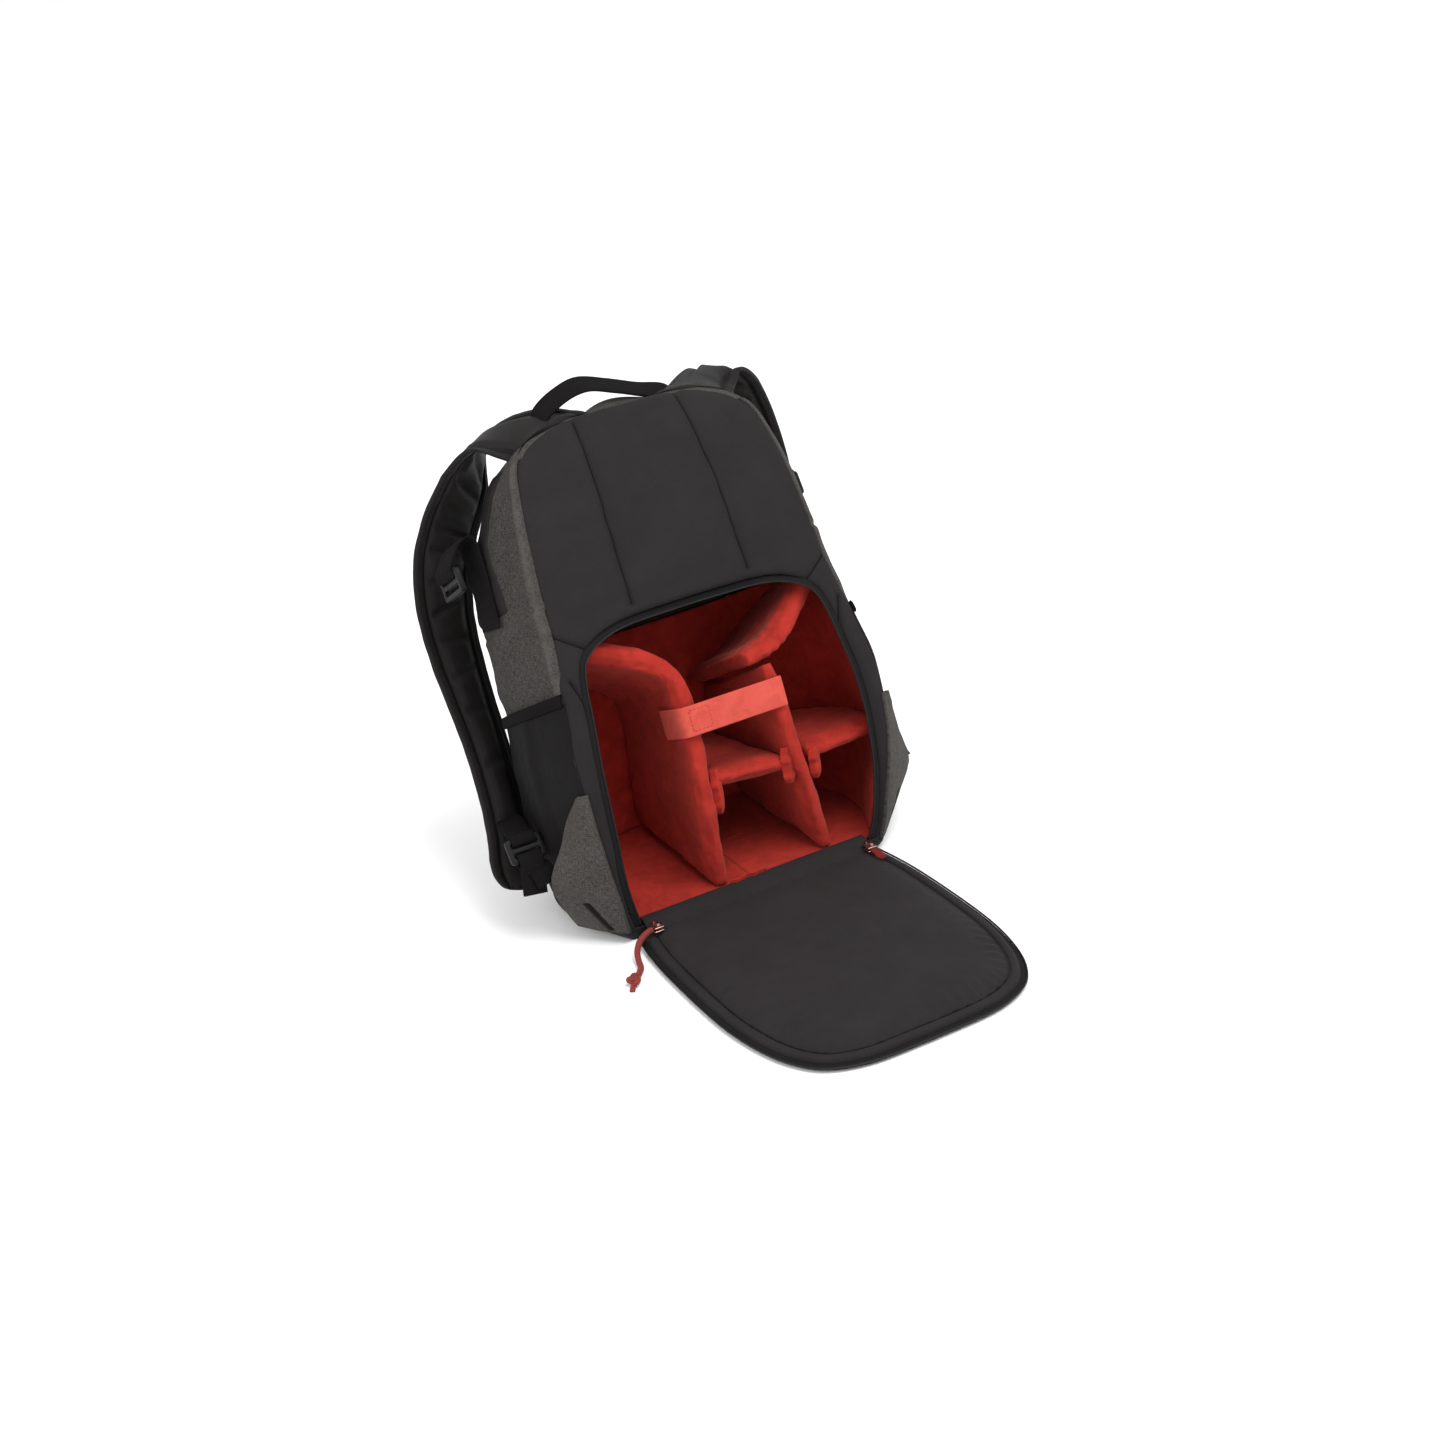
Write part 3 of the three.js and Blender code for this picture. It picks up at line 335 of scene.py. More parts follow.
def turn_at(deep, up, inset=0.0):
    """The turn at which the section reaches a depth."""
    share = up / HEIGHT
    square = section["square"](share)
    way = min(max(deep / (DEPTH * section["deep"](share) - inset), 0), 1)
    return atan2(way, (1 - way ** square) ** (1 / square)) * 2 / pi


def half_wide(up):
    return HALF_WIDTH * section["wide"](up / HEIGHT)


def crown_at(across, up):
    share = across / half_wide(up)
    return CROWN * (1 - share * share) * ease((up - BASE_RISE) / (4 * BASE_RISE))


def groove(far, wide, deep):
    """How deep a seam or a quilting line draws the cloth in at a distance from it."""
    return deep * exp(-(far / wide) ** 2)


def apart(point, line):
    """The distance from a point to a line of points, both [across, up]."""
    best = 1e9
    for (ax, ay), (bx, by) in zip(line, line[1:]):
        dx, dy = bx - ax, by - ay
        t = min(max(((point[0] - ax) * dx + (point[1] - ay) * dy) / (dx * dx + dy * dy), 0), 1)
        best = min(best, hypot(point[0] - ax - t * dx, point[1] - ay - t * dy))
    return best


def folds(x, y, rows):
    """The height of soft folds at a point. A row has a fold's middle, turn, length, width and height."""
    total = 0.0
    for middle_x, middle_y, degrees, long, wide, high in rows:
        turn = radians(degrees)
        dx, dy = x - middle_x, y - middle_y
        along = dx * cos(turn) + dy * sin(turn)
        off = dy * cos(turn) - dx * sin(turn)
        total += high * exp(-(off / wide) ** 2 - (along / long) ** 4)
    return total


def crumple(point, size, high):
    """Uneven cloth: soft dents of a size and a height, the same in each run."""
    return high * noise.fractal(Vector(point) / size, 0.9, 2.1, 3)


def cloth(columns, rows, place, size=(1, 1), chart=None):
    """A grid of cloth set in place, with a map in metres and, with chart, one of its seams."""
    bm = bmesh.new()
    bmesh.ops.create_grid(bm, x_segments=columns, y_segments=rows, size=0.5)
    weave = bm.loops.layers.uv.new("weave")
    for vert in bm.verts:
        for loop in vert.link_loops:
            loop[weave].uv = ((vert.co.x + 0.5) * size[0], (vert.co.y + 0.5) * size[1])
    if chart:
        seams = bm.loops.layers.uv.new("seams")
        for vert in bm.verts:
            spot = chart(vert.co.x + 0.5, vert.co.y + 0.5)
            for loop in vert.link_loops:
                loop[seams].uv = (spot[0] * MM, spot[1] * MM)
    for vert in bm.verts:
        vert.co = place(vert.co.x + 0.5, vert.co.y + 0.5)
    return bm


def wall(made, thick):
    """Gives a sheet a thickness behind it."""
    solid = made.modifiers.new("thickness", "SOLIDIFY")
    solid.thickness = thick * MM
    solid.offset = -1


def piece(name, bm, material, slot, *nodes, away=None, thick=0.0, fill=0.0):
    """The finished piece. A sheet faces away from a point and may get a thickness behind it.

    The share that a padded piece's padding fills is not used.
    """
    bm.normal_update()
    if away is None:
        bmesh.ops.recalc_face_normals(bm, faces=bm.faces)
    elif sum(face.normal.dot(face.calc_center_median() - away) * face.calc_area() for face in bm.faces) < 0:
        bmesh.ops.reverse_faces(bm, faces=bm.faces)
    mesh = bpy.data.meshes.new(name)
    bm.to_mesh(mesh)
    bm.free()
    mesh.shade_smooth()
    mesh.materials.append(material)
    made = placed(name, mesh)
    if thick:
        wall(made, thick)
    belongs(made, slot, *nodes)
    return made


def seam_mask(node, lines, wide):
    """Is 1 on the lines of a piece's seam map and 0 at half their width from them. Lines mirror at x = 0."""
    spot = node("SeparateXYZ", {"Vector": node("UVMap", uv_map="seams").outputs["UV"]}).outputs
    spot = node("CombineXYZ", {"X": maths(node, "ABSOLUTE", spot["X"]), "Y": spot["Y"]}).outputs[0]
    mask = None
    for line in lines:
        for start, end in zip(line, line[1:]):
            start = Vector((*start, 0)) * MM
            along = Vector((*end, 0)) * MM - start
            off = node("VectorMath", {0: spot, 1: start}, operation="SUBTRACT").outputs[0]
            share = node("VectorMath", {0: off, 1: along / along.length_squared}, operation="DOT_PRODUCT")
            share = node("Clamp", {"Value": share.outputs["Value"]}).outputs[0]
            foot = node("VectorMath", {0: along, "Scale": share}, operation="SCALE").outputs[0]
            far = node("VectorMath", {0: off, 1: foot}, operation="DISTANCE").outputs["Value"]
            near = node("MapRange", {"Value": far, 1: 0.0, 2: wide / 2 * MM, 3: 1.0, 4: 0.0},
                        interpolation_type="SMOOTHSTEP").outputs[0]
            mask = maths(node, "MAXIMUM", mask, near) if mask else near
    return mask


def weave_material(name, dark, light, pitch, sheen, rough=0.85, melange=0.0, relief=0.00012, lighten=0.0,
                   shine=0.12, seams=(), seam_wide=2.0):
    """Woven cloth: threads that cross at a pitch in metres, an uneven tone and, for melange yarn, flecks.

    Along the seams the cloth is drawn in by a bump and darkened with painted shade, as in a groove. Where
    lighten is given, the lightened attribute paints the cloth lighter.
    """
    material, node, plug = shader(name, {"Roughness": rough, "Specular IOR Level": shine,
                                         "Sheen Weight": sheen, "Sheen Roughness": 0.45})
    sheet = node("TexCoord").outputs["UV"]
    solid = node("TexCoord").outputs["Object"]
    threads = [node("TexWave", {"Vector": sheet, "Scale": 0.314 / pitch, "Distortion": 0.6, "Detail": 1},
                    bands_direction=way).outputs["Fac"] for way in "XY"]
    grain = noise_of(node, solid, 900, 2)
    tone = maths(node, "MULTIPLY_ADD", noise_of(node, solid, 28, 5, Roughness=0.62), 0.55, 0.05)
    tone = maths(node, "MULTIPLY_ADD", grain, 0.35, tone)
    if melange:
        flecks = [noise_of(node, node("Mapping", {"Vector": sheet, "Scale": scale}).outputs[0], 1500, 2)
                  for scale in ((1, 0.16, 1), (0.16, 1, 1))]
        spread = node("MapRange", {"Value": maths(node, "MULTIPLY", *flecks), 1: 0.12, 2: 0.42,
                                   3: -melange, 4: melange})
        tone = maths(node, "ADD", tone, spread.outputs[0])
    # Painted light from the lightened attribute: a highlight along the sides' turned edge, and a lighter tone
    # all over the top and the wings.
    if lighten:
        lightened = node("Attribute", attribute_name="lightened").outputs["Fac"]
        tone = maths(node, "MULTIPLY_ADD", lightened, lighten, tone)
    height = maths(node, "MULTIPLY_ADD", grain, 0.8, maths(node, "MAXIMUM", *threads))
    normal = bumped(node, height, 0.6, relief)
    # Painted shade along the seams, standing in for the shade inside their grooves.
    if seams:
        mask = seam_mask(node, seams, seam_wide)
        tone = maths(node, "MULTIPLY_ADD", mask, -0.9, tone)
        normal = bumped(node, seam_mask(node, seams, 3 * seam_wide), 1.0, 0.0012, normal, invert=True)
    colour = blend_of(node, tone, dark, light)
    # The painted seam shade also scales the colour darker.
    if seams:
        shade = maths(node, "MULTIPLY_ADD", mask, -0.7, 1.0)
        colour = node("VectorMath", {0: colour, "Scale": shade}, operation="SCALE").outputs[0]
    plug(colour, "Base Color")
    plug(normal, "Normal")
    return material


QUILT_LINE = [(QUILT_OUT, QUILT_LOW + 2), (QUILT_OUT - 1.5, (QUILT_LOW + QUILT_HIGH) / 2),
              (QUILT_OUT - 6, QUILT_HIGH)]
black_cloth = weave_material("black_cloth", (0.0088, 0.0076, 0.0079), (0.0265, 0.0233, 0.0243), 0.0006, 0.015)
PANEL_SEAMS = [QUILT_LINE, *[[(-x, y) for x, y in line] for line in (SLANT_SEAM, STRIP_SEAM)]]
panel_cloth = weave_material("panel_cloth", (0.008, 0.0068, 0.0072), (0.0235, 0.0205, 0.0215), 0.0006, 0.012,
                             seams=PANEL_SEAMS)
BAG_MIDDLE = slump(0, DEPTH * 0.45, HEIGHT * 0.42)

half_rim = [(OPENING_HALF * wide, BASE_RISE + (OPENING_TOP - BASE_RISE) * up)
            for up, wide in zip(RIM["up"], RIM["wide"])]
rim_points = [Vector((-x, y, 0)) for x, y in half_rim] + [Vector((x, y, 0)) for x, y in reversed(half_rim)]
opening_rim = spline(rim_points)
RIM_SPLIT = 0.31
TOP_HALF = half_wide(HEIGHT)


def panel_edge(u):
    """The outer edge of the back panel across from a place on the opening's rim."""
    side = -1 if u < 0.5 else 1
    share = min(u, 1 - u)
    split_up = opening_rim(RIM_SPLIT).y
    if share <= RIM_SPLIT:
        up = opening_rim(share).y
        return side * half_wide(up), up
    reach = (share - RIM_SPLIT) / (0.5 - RIM_SPLIT) * (HEIGHT - split_up + TOP_HALF)
    if reach <= HEIGHT - split_up:
        up = split_up + reach
        return side * half_wide(up), up
    return side * (TOP_HALF - (reach - (HEIGHT - split_up))), HEIGHT


PANEL_FOLDS = [
    (-78, 262, 8, 26, 5, 1.0), (-92, 300, 14, 22, 6, 0.8), (86, 270, -20, 26, 6, 1.0),
    (0, 268, 3, 40, 7, 0.7), (-127, 150, 80, 34, 3.5, 0.8), (127, 128, 95, 40, 3.5, 0.8),
    (20, 350, -4, 30, 7, 0.6),
]
EDGE_ROUND = 7


def rounded_edge(far):
    """How far padded cloth drops at a distance from its edge, as a share."""
    return 1 - sqrt(max(0.0, 1 - (1 - min(far / EDGE_ROUND, 1)) ** 2))


def panel_spot(u, v):
    """Across and up on the back panel, from the opening's rim out to its edge."""
    clustered = 0.5 * v + 0.5 * (0.5 - 0.5 * cos(pi * v))
    inner = opening_rim(u)
    outer = panel_edge(u)
    return inner.x + (outer[0] - inner.x) * clustered, inner.y + (outer[1] - inner.y) * clustered


def panel_point(u, v):
    inner = opening_rim(u)
    outer = panel_edge(u)
    across, up = panel_spot(u, v)
    near = hypot(across - inner.x, up - inner.y)
    far = hypot(across - outer[0], up - outer[1])
    mirrored = (-abs(across), up)
    sunk = 4.5 * rounded_edge(near) + 5.5 * rounded_edge(far)
    if up > QUILT_LOW:
        sunk += groove(apart((abs(across), up), QUILT_LINE), 4.6, 3.0)
        sunk -= 1.6 * sin(pi * min(abs(across) / QUILT_OUT, 1)) * ease((up - QUILT_LOW) / 30)
    sunk += groove(apart(mirrored, SLANT_SEAM), 3.4, 1.9)
    if up < STRIP_SEAM[-1][1] + 6:
        sunk += groove(apart(mirrored, STRIP_SEAM), 2.2, 1.8)
    sunk -= folds(across, up, PANEL_FOLDS) + crumple((across, up, 3), 34, 0.9)
    return slump(across, -crown_at(across, up) + sunk, up)


piece("back_panel_pad", cloth(320, 56, panel_point, (0.75, 0.12), chart=panel_spot), panel_cloth,
      "black_fabric", "back_panel", away=BAG_MIDDLE, thick=BACK_PAD - 1, fill=0.7)

# The zip of the opening: a woven tape sewn along the rim with a nylon coil on its inner edge. A coil
# is one long ridged tube here, with a ridge for each turn.
ZIP_WIDTH = 6
ZIP_DEEP = 1.6
COIL_WIDE = 1.7
COIL_PITCH = 1.9
COIL_RIDGE = 0.2
RIM_STEPS = 120


def direction(route, u):
    """Which way a route goes at a share of its length."""
    return (route(min(u + 0.004, 1)) - route(max(u - 0.004, 0))).normalized()


def tube(route, steps, around, wide):
    """A closed tube along a route whose half width may change on its way, made from one grid."""
    def place(u, v):
        way = direction(route, u)
        side = way.cross(Vector((0, 0, 1)))
        side = side.normalized() if side.length > 0.2 else way.cross(Vector((0, 1, 0))).normalized()
        turn = 2 * pi * v
        half = wide(u) * MM
        return route(u) + side * cos(turn) * half + side.cross(way) * sin(turn) * half

    return closed(cloth(steps, around, place, (route.length, 2 * pi * wide(0.5) * MM)))


def joined(bm):
    """Joins the edges of a grid where they meet."""
    bmesh.ops.remove_doubles(bm, verts=bm.verts, dist=1e-6)
    return bm


def closed(bm):
    """Joins the long edges of a rolled grid and closes its two ends."""
    joined(bm)
    bmesh.ops.holes_fill(bm, edges=[edge for edge in bm.edges if edge.is_boundary], sides=0)
    return bm


def coil(route):
    """A zip coil along a route: a tube with one ridge for each turn."""
    turns = round(route.length / MM / COIL_PITCH)

    def half(u):
        return COIL_WIDE / 2 * (1 - COIL_RIDGE * sin(pi * turns * u) ** 2)

    return tube(route, turns * 4, 8, half)


def tape(edge, inner, steps, thick):
    """A flat tape between two edges, with its thickness upwards from them."""
    bm = cloth(steps, 4, lambda u, v: edge(u).lerp(inner(u), v), (0.7, ZIP_WIDTH * MM))
    bmesh.ops.solidify(bm, geom=bm.faces, thickness=thick * MM)
    return bm


def satin_material(name, tone, rough):
    """Smooth black nylon: a zip coil's turns or a moulded buckle, with fine unevenness."""
    material, node, plug = shader(name, {"Specular IOR Level": 0.16})
    grain = noise_of(node, node("TexCoord").outputs["Object"], 700, 4)
    plug(blend_of(node, grain, [0.7 * part for part in tone], tone), "Base Color")
    plug(node("MapRange", {"Value": grain, 3: rough - 0.08, 4: rough + 0.1}).outputs[0], "Roughness")
    plug(bumped(node, grain, 0.25, 0.0001), "Normal")
    return material


def rim_line(inset, deep):
    """A line along the opening's rim, moved in towards the opening and deeper."""
    points = []
    for i in range(RIM_STEPS + 1):
        u = i / RIM_STEPS
        here = opening_rim(u)
        way = (opening_rim(min(u + 0.01, 1)) - opening_rim(max(u - 0.01, 0))).normalized()
        points.append(slump(here.x + way.y * inset, deep, max(here.y - way.x * inset, BASE_RISE)))
    return spline(points)


zip_nylon = satin_material("zip_nylon", (0.012, 0.011, 0.0115), 0.36)
zip_tape = weave_material("zip_tape", (0.005, 0.0047, 0.0047), (0.013, 0.012, 0.012), 0.0009, 0.03)
sewn_edge = rim_line(-0.6, ZIP_DEEP + 1.2)
piece("opening_zip_tape", tape(sewn_edge, rim_line(ZIP_WIDTH - 1.4, ZIP_DEEP), 260, 0.8), zip_tape,
      "black_zip", "opening_zip")
piece("opening_zip_coil", coil(rim_line(ZIP_WIDTH - 1.2, ZIP_DEEP - 0.2)), zip_nylon, "black_zip",
      "opening_zip")


# The sides: heather cloth over thin foam, each cut in two with a seam above the pocket. The cloth is
# turned over a stiff edge where it meets the back panel, and a painted highlight lightens that edge's crest.
HEM_UP = 200
HEM_WIDTH = 9
CLOTH = 2.4
SIDE_SEAM_UP = 268
BODY_LOW = BASE_RISE + GAP
BODY_HIGH = HEIGHT * 0.96
FRONT_TURN = 0.6
SIDE_FOLDS = [
    (40, 240, 62, 20, 3.5, 1.3), (58, 232, 105, 18, 4, 1.1), (26, 248, 18, 20, 3, 0.9),
    (74, 300, 80, 34, 6, 1.6), (92, 262, 110, 26, 5, 1.4), (22, 318, 96, 30, 4, -1.2),
    (30, 346, 60, 14, 5, 1.1),
]
EDGE_FROM_SEAM = 4.5
SIDE_MAP = (0.15, 0.36)
SIDES = {"left": -1, "right": 1}

heather = weave_material("heather_cloth", (0.0135, 0.0124, 0.0112), (0.066, 0.061, 0.056), 0.0008, 0.015,
                         melange=0.42, relief=0.0002, lighten=0.6)


def side_deep(turn):
    """Along the section from the back panel's seam, roughly in millimetres."""
    return turn / FRONT_TURN * 130


def side_folds(side, deep, up):
    return folds(deep, up, SIDE_FOLDS) + crumple((side * deep, up, 9), 26, 1.3)


def flank_spot(side, turn, up, inset):
    """A point of a side, held at the back panel's seam."""
    if turn == 0:
        return slump(side * flank(side, turn_at(SEAM, up, inset), up, inset)[0], SEAM, up)
    across, depth = flank(side, turn, up, inset)
    return slump(side * across, max(depth, SEAM), up)


def side_point(side, u, v):
    up = BODY_LOW + (BODY_HIGH - BODY_LOW) * v
    under = (CLOTH + GAP) * (1 - ease((up - HEM_UP - HEM_WIDTH) / 18))
    turn = FRONT_TURN * u ** 1.25
    deep = side_deep(turn)
    ridge = 1.4 * exp(-((deep - EDGE_FROM_SEAM) / 3.2) ** 2) - 2.4 * exp(-(deep / 2.2) ** 2)
    seam = groove(up - SIDE_SEAM_UP + 3 * sin(deep / 40), 1.6, 1.5)
    overlap = 0.7 * ease((SIDE_SEAM_UP - up) / 1.5) * ease((up - SIDE_SEAM_UP + 14) / 10)
    soft = ease(deep / 14) * ease((up - HEM_UP) / 20)
    out = ridge - seam + overlap + soft * side_folds(side, deep, up)
    return flank_spot(side, turn, up, under - out + 3.5 * ease((turn - FRONT_TURN + 0.02) / 0.02) * 0.5)


for name, side in SIDES.items():
    sheet = cloth(56, 120, partial(side_point, side), SIDE_MAP)
    # A painted highlight along the crest of the turned edge, uneven along its length, stored as how much
    # lighter the cloth is.
    lightened = sheet.verts.layers.float.new("lightened")
    uv = sheet.loops.layers.uv["weave"]
    for face in sheet.faces:
        for loop in face.loops:
            from_seam = side_deep(FRONT_TURN * (loop[uv].uv.x / SIDE_MAP[0]) ** 1.25)
            rough = 0.7 + 0.6 * noise.noise(Vector((loop[uv].uv.y * 160, side * 7, 0)))
            loop.vert[lightened] = rough * exp(-((from_seam - EDGE_FROM_SEAM) / 2.6) ** 2)
    piece(f"side_panel_cloth_{name}", sheet, heather, "grey_fabric", f"side_panel_{name}",
          away=BAG_MIDDLE, thick=SIDE_PAD - 1.4, fill=0.6)


# The upper part of each side, away from the back panel, is covered with the smooth cloth of the straps,
# turned under at its edges.
BORDER_WIDE = 9
STRAP_LONG = 620
strap_cloth = weave_material("strap_cloth", (0.0042, 0.0036, 0.0035), (0.0145, 0.0126, 0.0122), 0.0006, 0.008,
                             rough=0.55, seams=[[(BORDER_WIDE, 0), (BORDER_WIDE, STRAP_LONG)]], seam_wide=2.4)
COVER_LOW = 274
COVER_HIGH = 363
COVER_NEAR = [26, 26, 27, 29, 30, 27, 20, 12]


def row_value(values, share):
    """The value at a share of the way along a row of evenly spaced values."""
    place = min(max(share, 0), 1) * (len(values) - 1)
    i = min(int(place), len(values) - 2)
    return values[i] + (values[i + 1] - values[i]) * (place - i)


def cover_point(side, u, v):
    up = COVER_LOW + (COVER_HIGH - COVER_LOW) * v
    start = turn_at(row_value(COVER_NEAR, v), up)
    turn = start + (FRONT_TURN - start) * u
    hem = 1.2 * exp(-(side_deep(turn - start) / 2) ** 2) + 1.2 * exp(-((up - COVER_LOW) / 2) ** 2)
    return flank_spot(side, turn, up, hem - 1.7 - side_folds(side, side_deep(turn), up))


for name, side in SIDES.items():
    piece(f"side_cover_cloth_{name}", cloth(56, 60, partial(cover_point, side), (0.12, 0.09)), strap_cloth,
          "black_fabric", f"side_panel_{name}", away=BAG_MIDDLE, thick=1)


# The side pockets: thin black cloth cut wider than the side and gathered into a woven elastic hem, so
# that it falls in a few low upright folds. Seams hold it along the back panel and the base.
POCKET_FOLDS = [
    (32, 118, 91, 88, 3.4, -3.2), (40, 122, 92, 84, 4.5, 2.2), (60, 132, 88, 66, 4.5, -1.7),
    (24, 96, 78, 44, 4, 1.5), (84, 100, 96, 70, 5, -1.6), (98, 118, 84, 60, 5, 1.5),
]


def pocket_point(side, u, v):
    up = BODY_LOW + (HEM_UP + 2 - BODY_LOW) * v
    turn = FRONT_TURN * u ** 1.2
    deep = side_deep(turn)
    held = ease(deep / 10) * ease((turn - FRONT_TURN) / -0.05) * ease((up - BODY_LOW) / 18)
    out = held * max(folds(deep, up, POCKET_FOLDS) + crumple((side * deep, up * 0.6, 21), 20, 0.9), -1.1)
    return flank_spot(side, turn, up, 0.9 - out + 1.6 * exp(-(deep / 2.4) ** 2))


def hem_point(side, u, v):
    up = HEM_UP + 0.2 + (HEM_WIDTH - 0.4) * v
    turn = FRONT_TURN * u ** 1.1
    deep = side_deep(turn)
    gather = 0.22 * sin(deep * 2.4) + 0.5 * sin(deep / 5.2)
    inset = -1.3 - 0.4 * gather + 0.9 * (2 * v - 1) ** 4
    return flank_spot(side, max(turn, turn_at(SEAM, up, inset)), up, inset)


pocket_cloth = weave_material("pocket_cloth", (0.0022, 0.0018, 0.0019), (0.0085, 0.0072, 0.0076), 0.0007, 0.0,
                              rough=0.7, shine=0.1)
webbing_black = weave_material("black_webbing", (0.0026, 0.0022, 0.0023), (0.0095, 0.0083, 0.0087), 0.0016,
                               0.004, relief=0.0003, shine=0.06)
for name, side in SIDES.items():
    pocket = piece(f"side_pocket_cloth_{name}", cloth(70, 64, partial(pocket_point, side), (0.15, 0.19)),
                   pocket_cloth, "black_fabric", f"side_pocket_{name}", away=BAG_MIDDLE, thick=CLOTH - 1)
    hem = piece(f"pocket_hem_band_{name}", cloth(220, 6, partial(hem_point, side), (0.15, 0.009)),
                webbing_black, "black_webbing", f"pocket_hem_{name}", away=BAG_MIDDLE, thick=CLOTH)


# The far side: the same heather cloth, in one width with an upright seam down its middle and a seam
# across, plain because the photograph doesn't show it.
FRONT_FOLDS = [
    (40, 250, 70, 40, 8, 1.6), (-46, 226, 112, 36, 8, 1.5), (22, 120, 96, 50, 9, 1.3),
    (-30, 76, 84, 44, 9, 1.2), (60, 170, 10, 26, 7, 1.2),
]


def front_point(u, v):
    up = BODY_LOW + (BODY_HIGH - BODY_LOW) * v
    share = 2 * u - 1
    from_side = 1 - abs(share)
    turn = 1 - (1 - FRONT_TURN) * abs(share)
    side = 1 if share > 0 else -1
    across, _ = flank(side, turn, up)
    seam = groove(across * abs(share) if abs(share) < 0.05 else 99, 1.6, 1.2) + groove(up - 214, 1.7, 1.4)
    rim = 2.0 * exp(-(from_side * 60 / 2.4) ** 2) - 1.1 * exp(-((from_side * 60 - 5) / 3) ** 2)
    soft = folds(side * across, up, FRONT_FOLDS) + crumple((side * across, up, 33), 40, 1.8)
    return slump(*whole_flank(side, turn, up, rim + seam - ease(from_side * 5) * soft), up)


piece("front_panel_cloth", cloth(80, 120, front_point, (0.2, 0.36)), heather, "grey_fabric",
      "front_panel", away=BAG_MIDDLE, thick=SIDE_PAD - 1.4, fill=0.6)


# The top and the base go right round the bag: the top is a low dome of heather cloth, and the base a
# shallow tray of coated black cloth whose flat underside the bag stands on.
def section_point(t, up, inset, near=SEAM):
    """A point of the whole section, from the middle of its near side once round."""
    fold = min(t, 1 - t) * 2
    side = 1 if t < 0.5 else -1
    start = turn_at(near, up, inset)
    if fold < 0.3:
        across, _ = flank(side, start, up, inset)
        return side * across * fold / 0.3, near
    turn = start + (1 - start) * (fold - 0.3) / 0.7
    return whole_flank(side, turn, up, inset)


TOP_DOME = 8.5
DOME_HALF = 34


def top_point(u, v):
    if v < 0.5:
        up = BODY_HIGH + (HEIGHT - BODY_HIGH) * ease(v / 0.5)
        across, deep = section_point(u, up, 0.4)
        return slump(across, deep, up)
    across, deep = section_point(u, HEIGHT, 0.4)
    in_way = (v - 0.5) / 0.5
    middle = DEPTH * section["deep"](1) / 2
    across *= 1 - 0.4 * in_way
    dome = TOP_DOME * sin(in_way * pi / 2) * max(0.0, 1 - (across / DOME_HALF) ** 2)
    return slump(across, deep + (middle - deep) * in_way, HEIGHT + dome)


def mark_lightened(bm, share):
    """Writes how much lighter the cloth is painted, from 0 to 1, for the whole of a sheet."""
    lightened = bm.verts.layers.float.new("lightened")
    for vert in bm.verts:
        vert[lightened] = share


top_sheet = cloth(120, 30, top_point, (0.5, 0.05))
# The top is painted a little lighter all over.
mark_lightened(top_sheet, 0.25)
piece("top_panel_cloth", top_sheet, heather, "grey_fabric", "top_panel", away=slump(0, 20, HEIGHT - 30),
      thick=1.6)

BASE_FOOT = 3.0


def base_point(u, v):
    if v < 0.25:
        across, deep = section_point(u, 0, BASE_FOOT)
        middle = DEPTH * section["deep"](0) / 2
        grow = v / 0.25
        return slump(across * grow, middle + (deep - middle) * grow, 0)
    share = (v - 0.25) / 0.75
    up = BASE_RISE * share
    inset = BASE_FOOT * (1 - sin(min(share * 2.2, 1) * pi / 2))
    inset += 0.7 * exp(-((share - 1) / 0.12) ** 2)
    across, deep = section_point(u, up, inset)
    return slump(across, max(deep, SEAM), up)


base_cloth = weave_material("base_cloth", (0.007, 0.0065, 0.0065), (0.02, 0.0185, 0.0188), 0.0009, 0.02,
                            rough=0.7)
piece("base_panel_cloth", joined(cloth(200, 24, base_point, (0.8, 0.06))), base_cloth, "black_fabric",
      "base_panel", away=slump(0, DEPTH / 2, BASE_RISE), thick=1.8)


# The compartment: a brushed red lining over foam on its three sides and its floor, which the loop side
# of the dividers' fastening grips. A black padded shelf closes it above.
LINING = 3
LINED = SIDE_PAD + GAP
BAY_TOP = 249
LINING_FOLDS = [
    (128, 205, 130, 26, 6, 1.2), (150, 60, 80, 40, 7, 1.0), (-130, 190, 60, 30, 6, 1.1),
    (40, 160, 90, 60, 9, 1.2),
]


def brushed_material(name, dark, light, sheen, relief=0.00028):
    """Brushed loop cloth: a short uneven pile that catches light at its edges, with rubbed patches."""
    material, node, plug = shader(name, {"Roughness": 0.95, "Specular IOR Level": 0.15, "Sheen Weight": sheen,
                                         "Sheen Roughness": 0.5, "Sheen Tint": (1.0, 0.42, 0.34, 1)})
    solid = node("TexCoord").outputs["Object"]
    pile = noise_of(node, solid, 1300, 4, Roughness=0.7)
    rubbed = noise_of(node, solid, 60, 5, Roughness=0.65, Distortion=0.6)
    tone = maths(node, "MULTIPLY_ADD", pile, 0.5, maths(node, "MULTIPLY_ADD", rubbed, 1.3, -0.35))
    plug(blend_of(node, tone, dark, light), "Base Color")
    plug(bumped(node, rubbed, 0.5, 0.0012, bumped(node, pile, 0.8, relief)), "Normal")
    return material


red_brushed = brushed_material("red_brushed", (0.16, 0.0085, 0.0055), (0.43, 0.03, 0.0195), 0.1)


